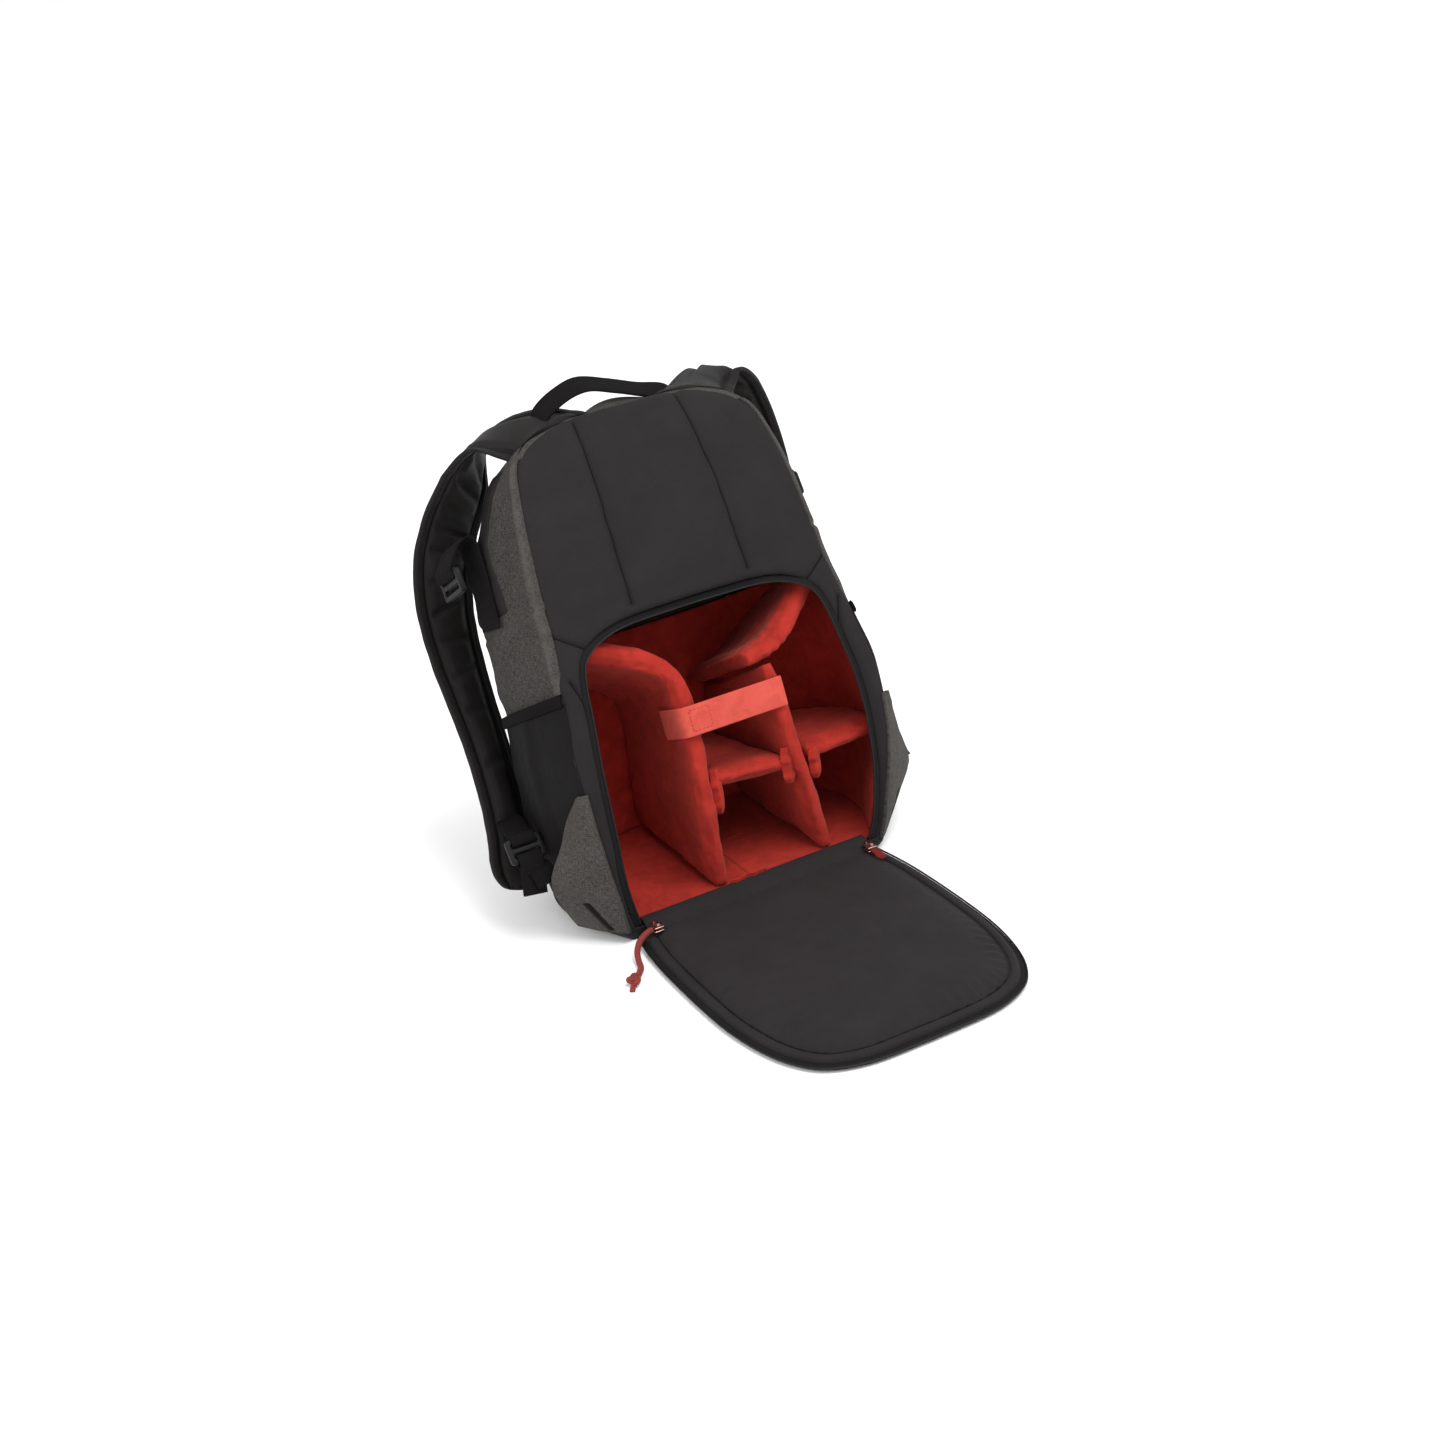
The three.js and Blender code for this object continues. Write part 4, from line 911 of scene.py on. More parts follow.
def lining_point(u, v):
    up = BODY_LOW + (BAY_TOP - GAP - BODY_LOW) * v
    share = 2 * u - 1
    side = 1 if share > 0 else -1
    inset = LINED + LINING
    start = turn_at(BACK_PAD * inset / SIDE_PAD + 2 * SEAM, up, inset)
    turn = 1 - (1 - start) * abs(share)
    across, _ = flank(side, turn, up, inset)
    push = folds(side * across, up, LINING_FOLDS) + crumple((side * across, up, 50), 30, 1.0)
    return slump(*whole_flank(side, turn, up, inset + 0.8 * push), up)


piece("bay_lining_cloth", cloth(150, 80, lining_point, (0.55, 0.24)), red_brushed, "red_fabric",
      "bay_lining", away=slump(0, DEPTH, BAY_TOP / 2), thick=LINING - 0.6)


def floor_point(u, v):
    inset = 8 + GAP
    across, deep = section_point(u, BASE_RISE - 0.5, inset + 2 * (1 - v), near=inset)
    grow = v ** 0.8
    middle = DEPTH * 0.47
    lift = crumple((across * grow, deep, 60), 22, 0.7) * (1 - v)
    return slump(across * grow, middle + (deep - middle) * grow, BASE_RISE + lift)


piece("bay_floor_cloth", cloth(120, 30, floor_point, (0.6, 0.1)), red_brushed, "red_fabric",
      "bay_floor", away=slump(0, DEPTH / 2, -80), thick=2.4)


def ceiling_point(u, v):
    inset = LINED + SEAM
    rim = 1.5 * (1 - sin(min(v, 0.5) * pi))
    up = BAY_TOP + (8 - rim if v > 0.5 else rim)
    grow = sin(v * pi) ** 0.6 if 0 < v < 1 else 0
    across, deep = section_point(u, min(up, BAY_TOP + 7), inset, near=BACK_PAD + SEAM)
    middle = DEPTH * 0.42
    return slump(across * grow, middle + (deep - middle) * grow, up)


piece("bay_ceiling_pad", joined(cloth(90, 30, ceiling_point, (0.6, 0.2))), black_cloth, "black_fabric",
      "bay_ceiling", fill=0.7)


# The dividers: foam boards in brushed red cloth with round front edges. They fasten to the lining by
# their ends, so each one bends where it is wanted. Pressure under the cloth gives their soft faces.
DIVIDER_CELL = 2.6
DIVIDER_SLACK = 0.9
DIVIDER_PRESSURE = 4
DIVIDER_CAP = 2.2
SMOOTHINGS = 4
SWELL_FRAMES = 20
CREASE_DEEP = 17
DIVIDERS = {
    # dents where the board creases or is gathered, as the place across and up, its reach and its depth
    "divider_left": [],
    "divider_right": [],
    "divider_brace": [(56, 198, 11, 7)],
    "shelf_centre": [],
    "shelf_right": [(70, 100, 9, 4)],
}


def solid_of(node):
    """A node's solid as a bmesh, joined at its corners."""
    bm = bmesh.new()
    bm.from_mesh(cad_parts[node].data)
    bmesh.ops.remove_doubles(bm, verts=bm.verts, dist=1e-5)
    return bm


def settle(body):
    """Makes what a body's modifiers do its own mesh."""
    body.data = bpy.data.meshes.new_from_object(body.evaluated_get(bpy.context.evaluated_depsgraph_get()))
    body.modifiers.clear()


def even_solid(name, node):
    """A copy of a piece's solid in even small faces, smoothed and drawn in so that it can swell."""
    mesh = bpy.data.meshes.new(name)
    bm = solid_of(node)
    bm.to_mesh(mesh)
    bm.free()
    body = placed(name, mesh)
    even = body.modifiers.new("even", "REMESH")
    even.mode = "VOXEL"
    even.voxel_size = DIVIDER_CELL * MM
    settle(body)
    bm = bmesh.new()
    bm.from_mesh(body.data)
    for _ in range(SMOOTHINGS):
        bmesh.ops.smooth_vert(bm, verts=bm.verts, factor=0.5, use_axis_x=True, use_axis_y=True,
                              use_axis_z=True)
    bm.normal_update()
    for vert in bm.verts:
        vert.co -= vert.normal * DIVIDER_SLACK * MM
    bm.to_mesh(body.data)
    bm.free()
    return body


def swell(body, pressure, cap, spare=0.0, held=None):
    """Blows up a skin of cloth from inside, and keeps each point within cap of where it was."""
    start = [vert.co.copy() for vert in body.data.vertices]
    skin = body.modifiers.new("cloth", "CLOTH")
    skin.settings.quality = 6
    skin.settings.use_pressure = True
    skin.settings.uniform_pressure_force = pressure
    skin.settings.effector_weights.gravity = 0
    skin.settings.shrink_min = -spare
    skin.settings.bending_stiffness = 0.4
    if held:
        pins = body.vertex_groups.new(name="held")
        pins.add(held, 1.0, "REPLACE")
        skin.settings.vertex_group_mass = "held"
    for step in range(1, SWELL_FRAMES + 1):
        scene.frame_set(step)
    settle(body)
    scene.frame_set(1)
    for vert, before in zip(body.data.vertices, start):
        move = vert.co - before
        if move.length > cap * MM:
            vert.co = before + move.normalized() * cap * MM


def finish_soft(body, material, slot, fill, *nodes):
    """Gives a swollen piece its material, its last rounding and its place in the part."""
    body.data.materials.clear()
    body.data.materials.append(material)
    body.data.shade_smooth()
    last = body.modifiers.new("rounding", "SUBSURF")
    last.levels = 1
    last.render_levels = 1
    belongs(body, slot, *nodes)


for node_name, creases in DIVIDERS.items():
    board = even_solid(f"{node_name}_pad", node_name)
    swell(board, DIVIDER_PRESSURE, DIVIDER_CAP)
    for vert in board.data.vertices:
        out = crumple(vert.co / MM, 30, 1.1) + crumple(vert.co / MM, 9, 0.2)
        for across, up, wide, deep in creases:
            near = (vert.co - slump(across, CREASE_DEEP, up)) / MM
            crease = sin(near.x * 0.6 + near.z * 0.35) * exp(-(near.length / wide / 1.6) ** 2)
            out += 0.16 * deep * crease
        vert.co += vert.normal * out * MM
    finish_soft(board, red_brushed, "red_fabric", 0.8, node_name)


# The hook tabs at the ends of the short shelves and at the foot of the left divider: loose tongues of
# the same red cloth, sewn on in little ruffles, which stick to the brushed faces beside them.
HOOK_TABS = {
    # the tab's middle across and up, its half width and half height and the depth it lies at
    "hook_tab_centre_left": (-16.5, 96, 5, 20, 22),
    "hook_tab_centre_right": (47, 99, 6, 16, 19),
    "hook_tab_right": (71, 93, 5.5, 14, 19),
    "hook_tab_foot": (-4, 15, 17, 4, 8),
}
TAB_RUFFLE = 0.8
TAB_STAND = 3
TAB_THICK = 0.9


def hook_tab_point(row, u, v):
    middle, low, wide, high, deep = row
    upright = high > wide
    along = 2 * v - 1 if upright else 2 * u - 1
    ruffle = TAB_RUFFLE * sin(along * 7 + middle) + 0.4 * TAB_RUFFLE * sin(along * 13 + 1)
    taper = 1 - 0.35 * abs(along) ** 3
    across = (2 * u - 1) * wide * (taper if upright else 1) + 0.5 * ruffle
    up = (2 * v - 1) * high * (1 if upright else taper)
    stand = TAB_STAND * (1 - abs(2 * u - 1)) if upright else 0
    return slump(middle + across, deep + ruffle - stand, low + up)


for name, row in HOOK_TABS.items():
    piece(name, cloth(14, 26, partial(hook_tab_point, row), (0.02, 0.04)), red_brushed, "red_fabric",
          away=slump(row[0], DEPTH / 2, row[1]), thick=TAB_THICK)


# The strap between the two long dividers: a lighter brushed tape, sewn to the left one with a box of
# stitches and turned round its front on to its side.
TIE_WIDE = 24
TIE_THICK = 2.0
TIE_UP = 162
TIE = [(-38.6, 46), (-38.2, 30), (-38, 17), (-36, 10.6), (-30, 8.6), (-10, 8.2), (20, 8.2), (38, 8.4),
       (53, 8.6)]
TIE_BOX = [(-31, -8), (-31, 8), (-14, 8), (-14, -8), (-31, -8)]
STITCH_LONG = 2.4
STITCH_WIDE = 0.6
STITCH_STEP = 3.4


def ribbon(route, wide, thick, across, steps, wave=0.0, round_end=0.0):
    """Webbing along a route: a flat strip with round edges, whose width runs towards across."""
    def place(u, v):
        way = direction(route, u)
        side = (across - way * across.dot(way)).normalized()
        turn = 2 * pi * v
        out = copysign(abs(cos(turn)) ** 0.35, cos(turn))
        lift = copysign(abs(sin(turn)) ** 0.6, sin(turn))
        end = min(u, 1 - u) * route.length / MM
        narrow = sqrt(max(0.05, 1 - (1 - min(end / round_end, 1)) ** 2)) if round_end else 1
        ripple = wave * noise.noise(route(u) / MM / 18) * out
        off = side * out * narrow * wide / 2 + way.cross(side) * (lift * thick / 2 + ripple)
        return route(u) + off * MM

    return closed(cloth(steps, 28, place, (route.length, 2 * wide * MM)))


tie_red = brushed_material("light_red_tape", (0.33, 0.036, 0.026), (0.56, 0.085, 0.062), 0.1, relief=0.00016)
tie_up = (slump(0, 0, TIE_UP + 1) - slump(0, 0, TIE_UP - 1)).normalized()
tie_face = (slump(0, 0, TIE_UP) - slump(0, 1, TIE_UP)).normalized()
tie_route = spline([slump(across, deep, TIE_UP) for across, deep in TIE])
piece("divider_strap_tape", ribbon(tie_route, TIE_WIDE, TIE_THICK, tie_up, 90, wave=0.3), tie_red,
      "light_red_webbing", "divider_strap")
red_thread = satin_material("red_thread", (0.42, 0.045, 0.03), 0.6)
tie_box = [slump(across, TIE[5][1] - TIE_THICK / 2 - 0.15, TIE_UP + up) for across, up in TIE_BOX]
thread = bmesh.new()
for start, end in zip(tie_box, tie_box[1:]):
    line = spline([start, start.lerp(end, 0.5), end])
    count = max(1, round(line.length / MM / STITCH_STEP))
    for i in range(count):
        spot = (i + 0.5) / count
        way = direction(line, spot)
        side = way.cross(tie_face).normalized()
        grain = Matrix((way * STITCH_LONG / 2 * MM, side * STITCH_WIDE / 2 * MM,
                        way.cross(side) * STITCH_WIDE / 2 * MM)).transposed().to_4x4()
        bmesh.ops.create_uvsphere(thread, u_segments=6, v_segments=4, radius=1,
                                  matrix=Matrix.Translation(line(spot)) @ grain)
piece("divider_strap_stitches", thread, red_thread, "light_red_webbing")


# The flap: the opened part of the back panel, lying on the floor on its outer face. Foam in black
# cloth, bound all round; its lining is a soft cushion gathered into the binding, so it puckers there.
FLAP_LENGTH = 258
FLAP_EDGE = 9
FLAP_SHARE = 1 - ZIP_WIDTH / OPENING_HALF
HINGE_Y = slump(0, 0, BASE_RISE).y / MM - GAP
FLAP_MIDDLE = Vector((0, HINGE_Y - 0.45 * FLAP_LENGTH, 0))
CUSHION_INSET = 8.5
CUSHION_CELL = 3.4
CUSHION_RISE = 7.5
CUSHION_CROWN = 8.5
CUSHION_PRESSURE = 6
CUSHION_SPARE = 0.06
CUSHION_CAP = 14
OUTLINE_STEPS = 600
HINGE_INSET = 5
FLAP_SECTION = {
    # from the middle of the underside round to the cushion
    "inset": [60, 14, 6, 2.2, 0.5, 0, 0.3, 1.2, 3, 5, 6.6, 7.4, 8.2, 10, 14, 20, 60],
    "rise": [0.4, 0.4, 0.3, 0.6, 1.9, 3.8, 6.0, 7.9, 8.9, 9.0, 8.5, 7.3, 6.9, 7.1, 6.6, 6.2, 6],
}
PUCKERS = [
    # gathers of the cushion along its edge: the share of the rim, their spread, their pitch and depth
    (0.30, 0.05, 0.013, 1.2), (0.17, 0.07, 0.018, 0.9), (0.44, 0.05, 0.013, 1.8), (0.58, 0.05, 0.013, 3.2),
    (0.70, 0.06, 0.016, 2.2),
]

flap_half = [Vector((-OPENING_HALF * FLAP_SHARE * wide, HINGE_Y - (FLAP_LENGTH - ZIP_WIDTH) * up, 0))
             for up, wide in zip(RIM["up"], RIM["flap"])]
flap_rim = spline([*flap_half, *[Vector((-point.x, point.y, 0)) for point in reversed(flap_half)]])
FLAP_ROUND = 0.78
FLAP_FLAT = 20


def flap_inset(share, inset):
    """A point of the flap's rim, moved in from it."""
    way = direction(flap_rim, share)
    return flap_rim(share) + Vector((-way.y, way.x, 0)) * inset


def flap_edge(u, inset):
    """Once round the flap's outline at an inset: along the rim from the left, then back along the hinge."""
    if u <= FLAP_ROUND:
        point = flap_inset(u / FLAP_ROUND, inset)
        return Vector((point.x, min(point.y, HINGE_Y - min(inset, HINGE_INSET)), 0))
    share = (u - FLAP_ROUND) / (1 - FLAP_ROUND)
    wide = flap_rim(1).x - inset
    return Vector((wide * (1 - 2 * share), HINGE_Y - min(inset, HINGE_INSET), 0))


def flap_point(u, v):
    inset = row_value(FLAP_SECTION["inset"], v)
    rise = row_value(FLAP_SECTION["rise"], v)
    edge = flap_edge(u, min(inset, FLAP_FLAT))
    if inset > FLAP_FLAT:
        edge = edge.lerp(FLAP_MIDDLE, (inset - FLAP_FLAT) / 40)
    rise += 0.35 * noise.noise(edge / 21) * ease(rise / 6)
    return Vector((edge.x, edge.y, max(rise, 0))) * MM


piece("flap_shell", joined(cloth(360, 64, flap_point, (0.95, 0.08))), black_cloth, "black_fabric", "flap")


def inside(point, outline):
    """Whether a point lies inside a closed outline."""
    hit = False
    for a, b in zip(outline, [*outline[1:], outline[0]]):
        if (a.y > point.y) != (b.y > point.y) and point.x < (b.x - a.x) * (point.y - a.y) / (b.y - a.y) + a.x:
            hit = not hit
    return hit


def nearest(point, outline):
    """The nearest point of a closed outline and its share of the way round."""
    best = min(range(len(outline)), key=lambda i: (outline[i] - point).length_squared)
    return outline[best], best / len(outline)


outline = [flap_edge(i / OUTLINE_STEPS, CUSHION_INSET) for i in range(OUTLINE_STEPS)]
bm = bmesh.new()
bmesh.ops.create_grid(bm, x_segments=round(2 * OPENING_HALF / CUSHION_CELL),
                      y_segments=round(FLAP_LENGTH / CUSHION_CELL), size=0.5)
for vert in bm.verts:
    vert.co = Vector((vert.co.x * 2 * OPENING_HALF, HINGE_Y - (0.5 - vert.co.y) * FLAP_LENGTH, 0))
outer = [face for face in bm.faces if not all(inside(vert.co, outline) for vert in face.verts)]
bmesh.ops.delete(bm, geom=outer, context="FACES")
skirt = bmesh.ops.extrude_edge_only(bm, edges=[edge for edge in bm.edges if edge.is_boundary])
border = [item for item in skirt["geom"] if isinstance(item, bmesh.types.BMVert)]
for vert in border:
    vert.co = nearest(vert.co, outline)[0]
weave_map = bm.loops.layers.uv.new("weave")
for face in bm.faces:
    for loop in face.loops:
        loop[weave_map].uv = (loop.vert.co.x * MM, loop.vert.co.y * MM)
edge_verts = set(border)
bm.verts.index_update()
held = [vert.index for vert in border]
for vert in bm.verts:
    spot, share = nearest(vert.co, outline)
    far = 0 if vert in edge_verts else (vert.co - spot).length
    gather = 0.0
    for at, spread, pitch, deep in PUCKERS:
        held_there = exp(-((share - at * FLAP_ROUND) / spread) ** 2)
        gather += deep * held_there * sin(2 * pi * share / pitch)
    gather *= exp(-((far - 7) / 6) ** 2)
    crown = CUSHION_CROWN * (1 - exp(-far / 11)) if far else 0
    vert.co.z = CUSHION_RISE + crown + gather + crumple(vert.co, 26, 0.5) * ease(far / 9)
for vert in bm.verts:
    vert.co *= MM
bmesh.ops.recalc_face_normals(bm, faces=bm.faces)
if sum(face.normal.z for face in bm.faces) < 0:
    bmesh.ops.reverse_faces(bm, faces=bm.faces)
cushion_mesh = bpy.data.meshes.new("flap_cushion")
bm.to_mesh(cushion_mesh)
bm.free()
cushion = placed("flap_cushion", cushion_mesh)
swell(cushion, CUSHION_PRESSURE, CUSHION_CAP, spare=CUSHION_SPARE, held=held)
finish_soft(cushion, black_cloth, "black_fabric", 0.6, "flap")
wall(cushion, 1.0)

# The flap's half of the zip, sewn into the binding on its outer side, and the cloth hinge that joins
# the flap to the foot of the opening.
ZIP_RISE = 4.2
HINGE_OVERLAP = 14
FLAP_STEPS = 160


def flap_line(inset, rise):
    """A line along the flap's rim, moved in from it, at a height."""
    points = []
    for i in range(FLAP_STEPS + 1):
        point = flap_inset(i / FLAP_STEPS, inset)
        points.append(Vector((point.x, min(point.y, HINGE_Y - 0.4), rise)) * MM)
    return spline(points)


flap_tape = tape(flap_line(1.2, ZIP_RISE), flap_line(1.6 - ZIP_WIDTH, ZIP_RISE - 1), 300, 0.8)
piece("flap_zip_tape", flap_tape, zip_tape, "black_zip", "flap_zip")
piece("flap_zip_coil", coil(flap_line(1.3 - ZIP_WIDTH, ZIP_RISE)), zip_nylon, "black_zip", "flap_zip")


def hinge_point(u, v):
    across = (flap_rim(1).x - 3) * (2 * u - 1)
    sag = 0.7 * noise.noise(Vector((across / 19, v * 2, 5))) * sin(pi * v)
    start = slump(across, 9, BASE_RISE) / MM + Vector((0, 0, 3.4))
    end = Vector((across, HINGE_Y - HINGE_OVERLAP, CUSHION_RISE + 1.2))
    point = start.lerp(end, v)
    point.z = start.z + (end.z - start.z) * ease(v) + 1.6 * sin(pi * v) + sag
    return point * MM


piece("flap_hinge", cloth(120, 14, hinge_point, (0.22, 0.03)), black_cloth, "black_fabric", "flap",
      away=Vector((0, HINGE_Y * MM, -1)), thick=1.2)


# The zip's sliders and pulls: cast sliders with a warm tint, a knot that ends the cord and, on the
# right, a short flat tab of red cloth.
SLIDER_WIDE = 8
SLIDER_LONG = 11
SLIDER_THICK = 5
SLIDER_RISE = FLAP_EDGE + SLIDER_THICK / 2 + 3
SLIDER_BACK = HINGE_Y - SLIDER_LONG
SLIDER_OUT = flap_rim(1).x - SLIDER_WIDE
SLIDER_PARTS = [
    # two plates, the wedge between them, and two posts with the bridge that holds the pull
    ((SLIDER_WIDE, SLIDER_LONG, 1.4), (0, 0, -1.5), 0.6), ((SLIDER_WIDE, SLIDER_LONG, 1.4), (0, 0, 1.5), 0.6),
    ((2.4, 4.5, 2.6), (0, 3, 0), 0.5), ((2.6, 2.4, 2.2), (0, 3.4, 2.9), 0.6),
    ((2.6, 2.4, 2.2), (0, -3.4, 2.9), 0.6), ((2.2, 9, 1.2), (0, 0, 4.1), 0.5),
]
TAB_WIDE = 7
TAB_LONG = 16


def metal_material(name, dark, light, rough):
    """Cast metal, polished and a little scratched."""
    material, node, plug = shader(name, {"Metallic": 1.0})
    grain = noise_of(node, node("TexCoord").outputs["Object"], 420, 5)
    plug(blend_of(node, grain, dark, light), "Base Color")
    plug(node("MapRange", {"Value": grain, 3: rough - 0.1, 4: rough + 0.15}).outputs[0], "Roughness")
    return material


def rounded_box(bm, size, centre, soft):
    """A box with soft edges, added to a bmesh."""
    made = bmesh.ops.create_cube(bm, size=1)["verts"]
    bmesh.ops.scale(bm, vec=Vector(size) * MM, verts=made)
    edges = list({edge for vert in made for edge in vert.link_edges})
    made = bmesh.ops.bevel(bm, geom=edges, offset=soft * MM, segments=3, profile=0.5, affect="EDGES",
                           material=-1)["verts"]
    bmesh.ops.translate(bm, vec=Vector(centre) * MM, verts=made)


slider_metal = metal_material("slider_metal", (0.36, 0.19, 0.155), (0.62, 0.40, 0.345), 0.3)
red_tape = weave_material("red_tape", (0.07, 0.007, 0.006), (0.2, 0.018, 0.014), 0.0012, 0.02, relief=0.0003)
for name, side in SIDES.items():
    bm = bmesh.new()
    for size, off, soft in SLIDER_PARTS:
        rounded_box(bm, size, Vector((side * SLIDER_OUT, SLIDER_BACK, SLIDER_RISE)) + Vector(off), soft)
    piece(f"slider_{name}", bm, slider_metal, "slider_metal", f"zip_slider_{name}")

tab_middle = Vector((SLIDER_OUT, SLIDER_BACK - (SLIDER_LONG + TAB_LONG) / 2 - GAP, SLIDER_RISE)) * MM
tab_reach = Vector((0, TAB_LONG / 2 * MM, 0))
pull_route = spline([tab_middle + tab_reach, tab_middle + tab_reach * 0.3 + Vector((0, 0, 0.6 * MM)),
                     tab_middle - tab_reach * 0.4 - Vector((0, 0, 0.8 * MM)), tab_middle - tab_reach])
piece("right_pull_tab", ribbon(pull_route, TAB_WIDE, 2, Vector((1, 0, 0)), 40, wave=0.3, round_end=1.5),
      red_tape, "red_cord", "zip_pull_right")

KNOT_LOOP = 3.0
KNOT_RISE = 1.7
KNOT_TURNS = 96
knot_place = Vector(CORD_ROUTE[-1]) + Vector((-2.5, -2.5, 2.2))


def knot_route(share):
    t = 2 * pi * share
    loop_x = KNOT_LOOP * (sin(t) + 2 * sin(2 * t)) / 2.2
    loop_y = KNOT_LOOP * (cos(t) - 2 * cos(2 * t)) / 2.2
    return (knot_place + Vector((loop_x, loop_y, -KNOT_RISE * sin(3 * t)))) * MM


def knot_point(u, v):
    way = (knot_route(u + 0.004) - knot_route(u - 0.004)).normalized()
    side = way.cross(Vector((0, 0, 1))).normalized()
    turn = 2 * pi * v
    return knot_route(u) + (side * cos(turn) + side.cross(way) * sin(turn)) * CORD_WIDE * 0.46 * MM


knot = piece("cord_knot", joined(cloth(KNOT_TURNS, 12, knot_point, (0.05, 0.009))), red_cord, "red_cord")
CORD_TAIL = [(-140, -133, 2), (-144, -137, 1.7), (-147, -141.5, 1.6)]
cord_tail = spline([Vector(point) * MM for point in CORD_TAIL])
piece("cord_tail", tube(cord_tail, 14, 12, lambda u: CORD_WIDE * 0.45), red_cord, "red_cord")


# The wings at the foot of the back panel: stiff heather cloth corners that carry the adjusting webbing,
# sewn along the back panel's seam, with a dart near the base and one slanting row of stitches.
WING_UP = 136
WING_REACH = 36
WING_OFF = 0.8
WING_PAD = 3
WING_STAND = {"left": 17, "right": 23}
WING = {
    "up": [0.08, 0.15, 0.28, 0.39, 0.47, 0.56, 0.7, 0.86, 1],
    "reach": [1, 0.98, 0.96, 0.94, 0.92, 0.86, 0.68, 0.45, 0.08],
    "stand": [0.36, 0.56, 0.86, 1, 0.92, 0.68, 0.34, 0.12, 0],
}
WING_DART = [(9, 14), (17, 40)]
WING_STITCH = [(2, 72), (33, 50)]
wing_reach = monotone(WING["up"], WING["reach"])
wing_stand = monotone(WING["up"], WING["stand"])


def wing_spot(u, v):
    """The depth on the wing beyond the seam, and the height, in millimetres."""
    share = WING["up"][0] + (WING["up"][-1] - WING["up"][0]) * v
    return u * WING_REACH * wing_reach(share), share * WING_UP


def wing_point(side, stand_off, u, v):
    reach, up = wing_spot(u, v)
    share = up / WING_UP
    deep = 2 * SEAM - 3.2 * (1 - u) ** 6 + reach
    across, _ = flank(side, turn_at(deep, up), up)
    from_edge = min(reach, (1 - u) * WING_REACH * wing_reach(share), up - 2)
    sunk = 2.6 * groove(apart((deep, up), WING_DART), 2.2, 1.0)
    sunk += 0.6 * groove(apart((deep, up), WING_STITCH), 1.5, 1)
    sunk += 1.4 * (1 - min(max(from_edge, 0) / 2.2, 1)) ** 2
    sunk -= crumple((side * deep, up, 71), 16, 0.9) * ease(from_edge / 5)
    stand = stand_off * max(wing_stand(share), 0) * u + WING_OFF
    tuck = 5.4 * (1 - u) ** 5
    return slump(side * (across + stand + WING_PAD - sunk - tuck), deep, up)


wing_cloth = weave_material("wing_cloth", (0.0155, 0.0142, 0.0128), (0.076, 0.07, 0.064), 0.0008, 0.015,
                            melange=0.42, relief=0.0002, lighten=0.6, seams=[WING_DART], seam_wide=4.5)
for name, side in SIDES.items():
    wing = cloth(44, 90, partial(wing_point, side, WING_STAND[name]), (0.036, 0.136), chart=wing_spot)
    # The wings are painted a little lighter all over.
    mark_lightened(wing, 0.12)
    piece(f"wing_cloth_{name}", wing, wing_cloth, "grey_fabric", f"wing_{name}", away=BAG_MIDDLE,
          thick=WING_PAD)


# The shoulder straps: foam in smooth black cloth with a wide bound border. Each one is sewn into the
# top seam, arches over to the far side and hangs down beside the bag, with its skin side turned out.
STRAP_WIDTH = 64
STRAP_PAD = 14
STRAP_BORDER = 5
STRAP_CORNER = 0.72
STRAP = {
    "out": [0.456, 0.5, 0.6, 0.755, 0.895, 1.02, 1.105, 1.145, 1.155, 1.15, 1.145, 1.155, 1.185, 1.24, 1.3],
    "deep": [0.03, 0.075, 0.15, 0.26, 0.375, 0.51, 0.61, 0.675, 0.717, 0.735, 0.74, 0.705, 0.62, 0.525,
             0.465],
    "up": [0.992, 1, 1.01, 1.006, 0.972, 0.926, 0.863, 0.79, 0.713, 0.624, 0.53, 0.405, 0.27, 0.175, 0.108],
    "wide": [1.1, 1.1, 1.08, 1.05, 1.03, 1, 1, 0.97, 0.9, 0.84, 0.8, 0.8, 0.8, 0.76, 0.56],
    "lift": [59, 66, 52, 38, 17, 9, -3, -5, -5, -5, -6, -9, -14, -20, -24],
    "turn": [-11, -60, -104, -125, -155, -162, -160, -160, -160, -160, -161, -163, -165, -167, -168],
    "inner": [1, 1, 1, 1, 1, 1, 0.9, 0.84, 0.82, 0.78, 0.74, 0.68, 0.72, 0.85, 1],
    "puff": [0.8, 0.9, 1, 1, 1, 1, 1, 1, 1, 1, 1, 1, 1, 0.85, 0.4],
}
SWINGS = {
    "left": {"side": -1, "inward": 0, "back": 0, "rise": 0},
    "right": {"side": 1, "inward": 0.09, "back": 45, "rise": 0.04},
}
CREST = 3
SEWN = {
    # where the strap's seam begins and how long it is, over what share of the strap the seam still
    # draws it in, how high it arches, how far it turns outward, and how far its two edges fold in
    "left": {"start": 27, "long": 74, "share": 0.16, "arch": 9, "shift": -2, "plus": 0.85, "minus": 1},
    "right": {"start": 30, "long": 66, "share": 0.2, "arch": 4, "shift": 12, "plus": 1, "minus": 0.3},
}
STRAP_ROWS = len(STRAP["up"]) - 1
STRAP_WRINKLES = [
    # transverse wrinkles of the underside: the row they lie at, their lean, their width and depth
    (3.6, 0.5, 3.2, 2.2), (4.1, 0.35, 3.0, 2.4), (4.6, 0.3, 3.6, 1.8), (5.1, 0.2, 2.8, 2.2),
    (5.6, 0.15, 3.4, 1.6), (6.2, -0.1, 3.0, 1.9), (6.9, -0.2, 3.0, 2.0), (7.7, 0.1, 3.4, 1.5),
    (8.5, -0.15, 3.0, 1.8), (9.4, 0.1, 3.6, 1.2), (10.6, -0.1, 3.6, 1.0), (12.0, 0.1, 4.0, 0.9),
]


def strap_value(name, u):
    return row_value(STRAP[name], u)


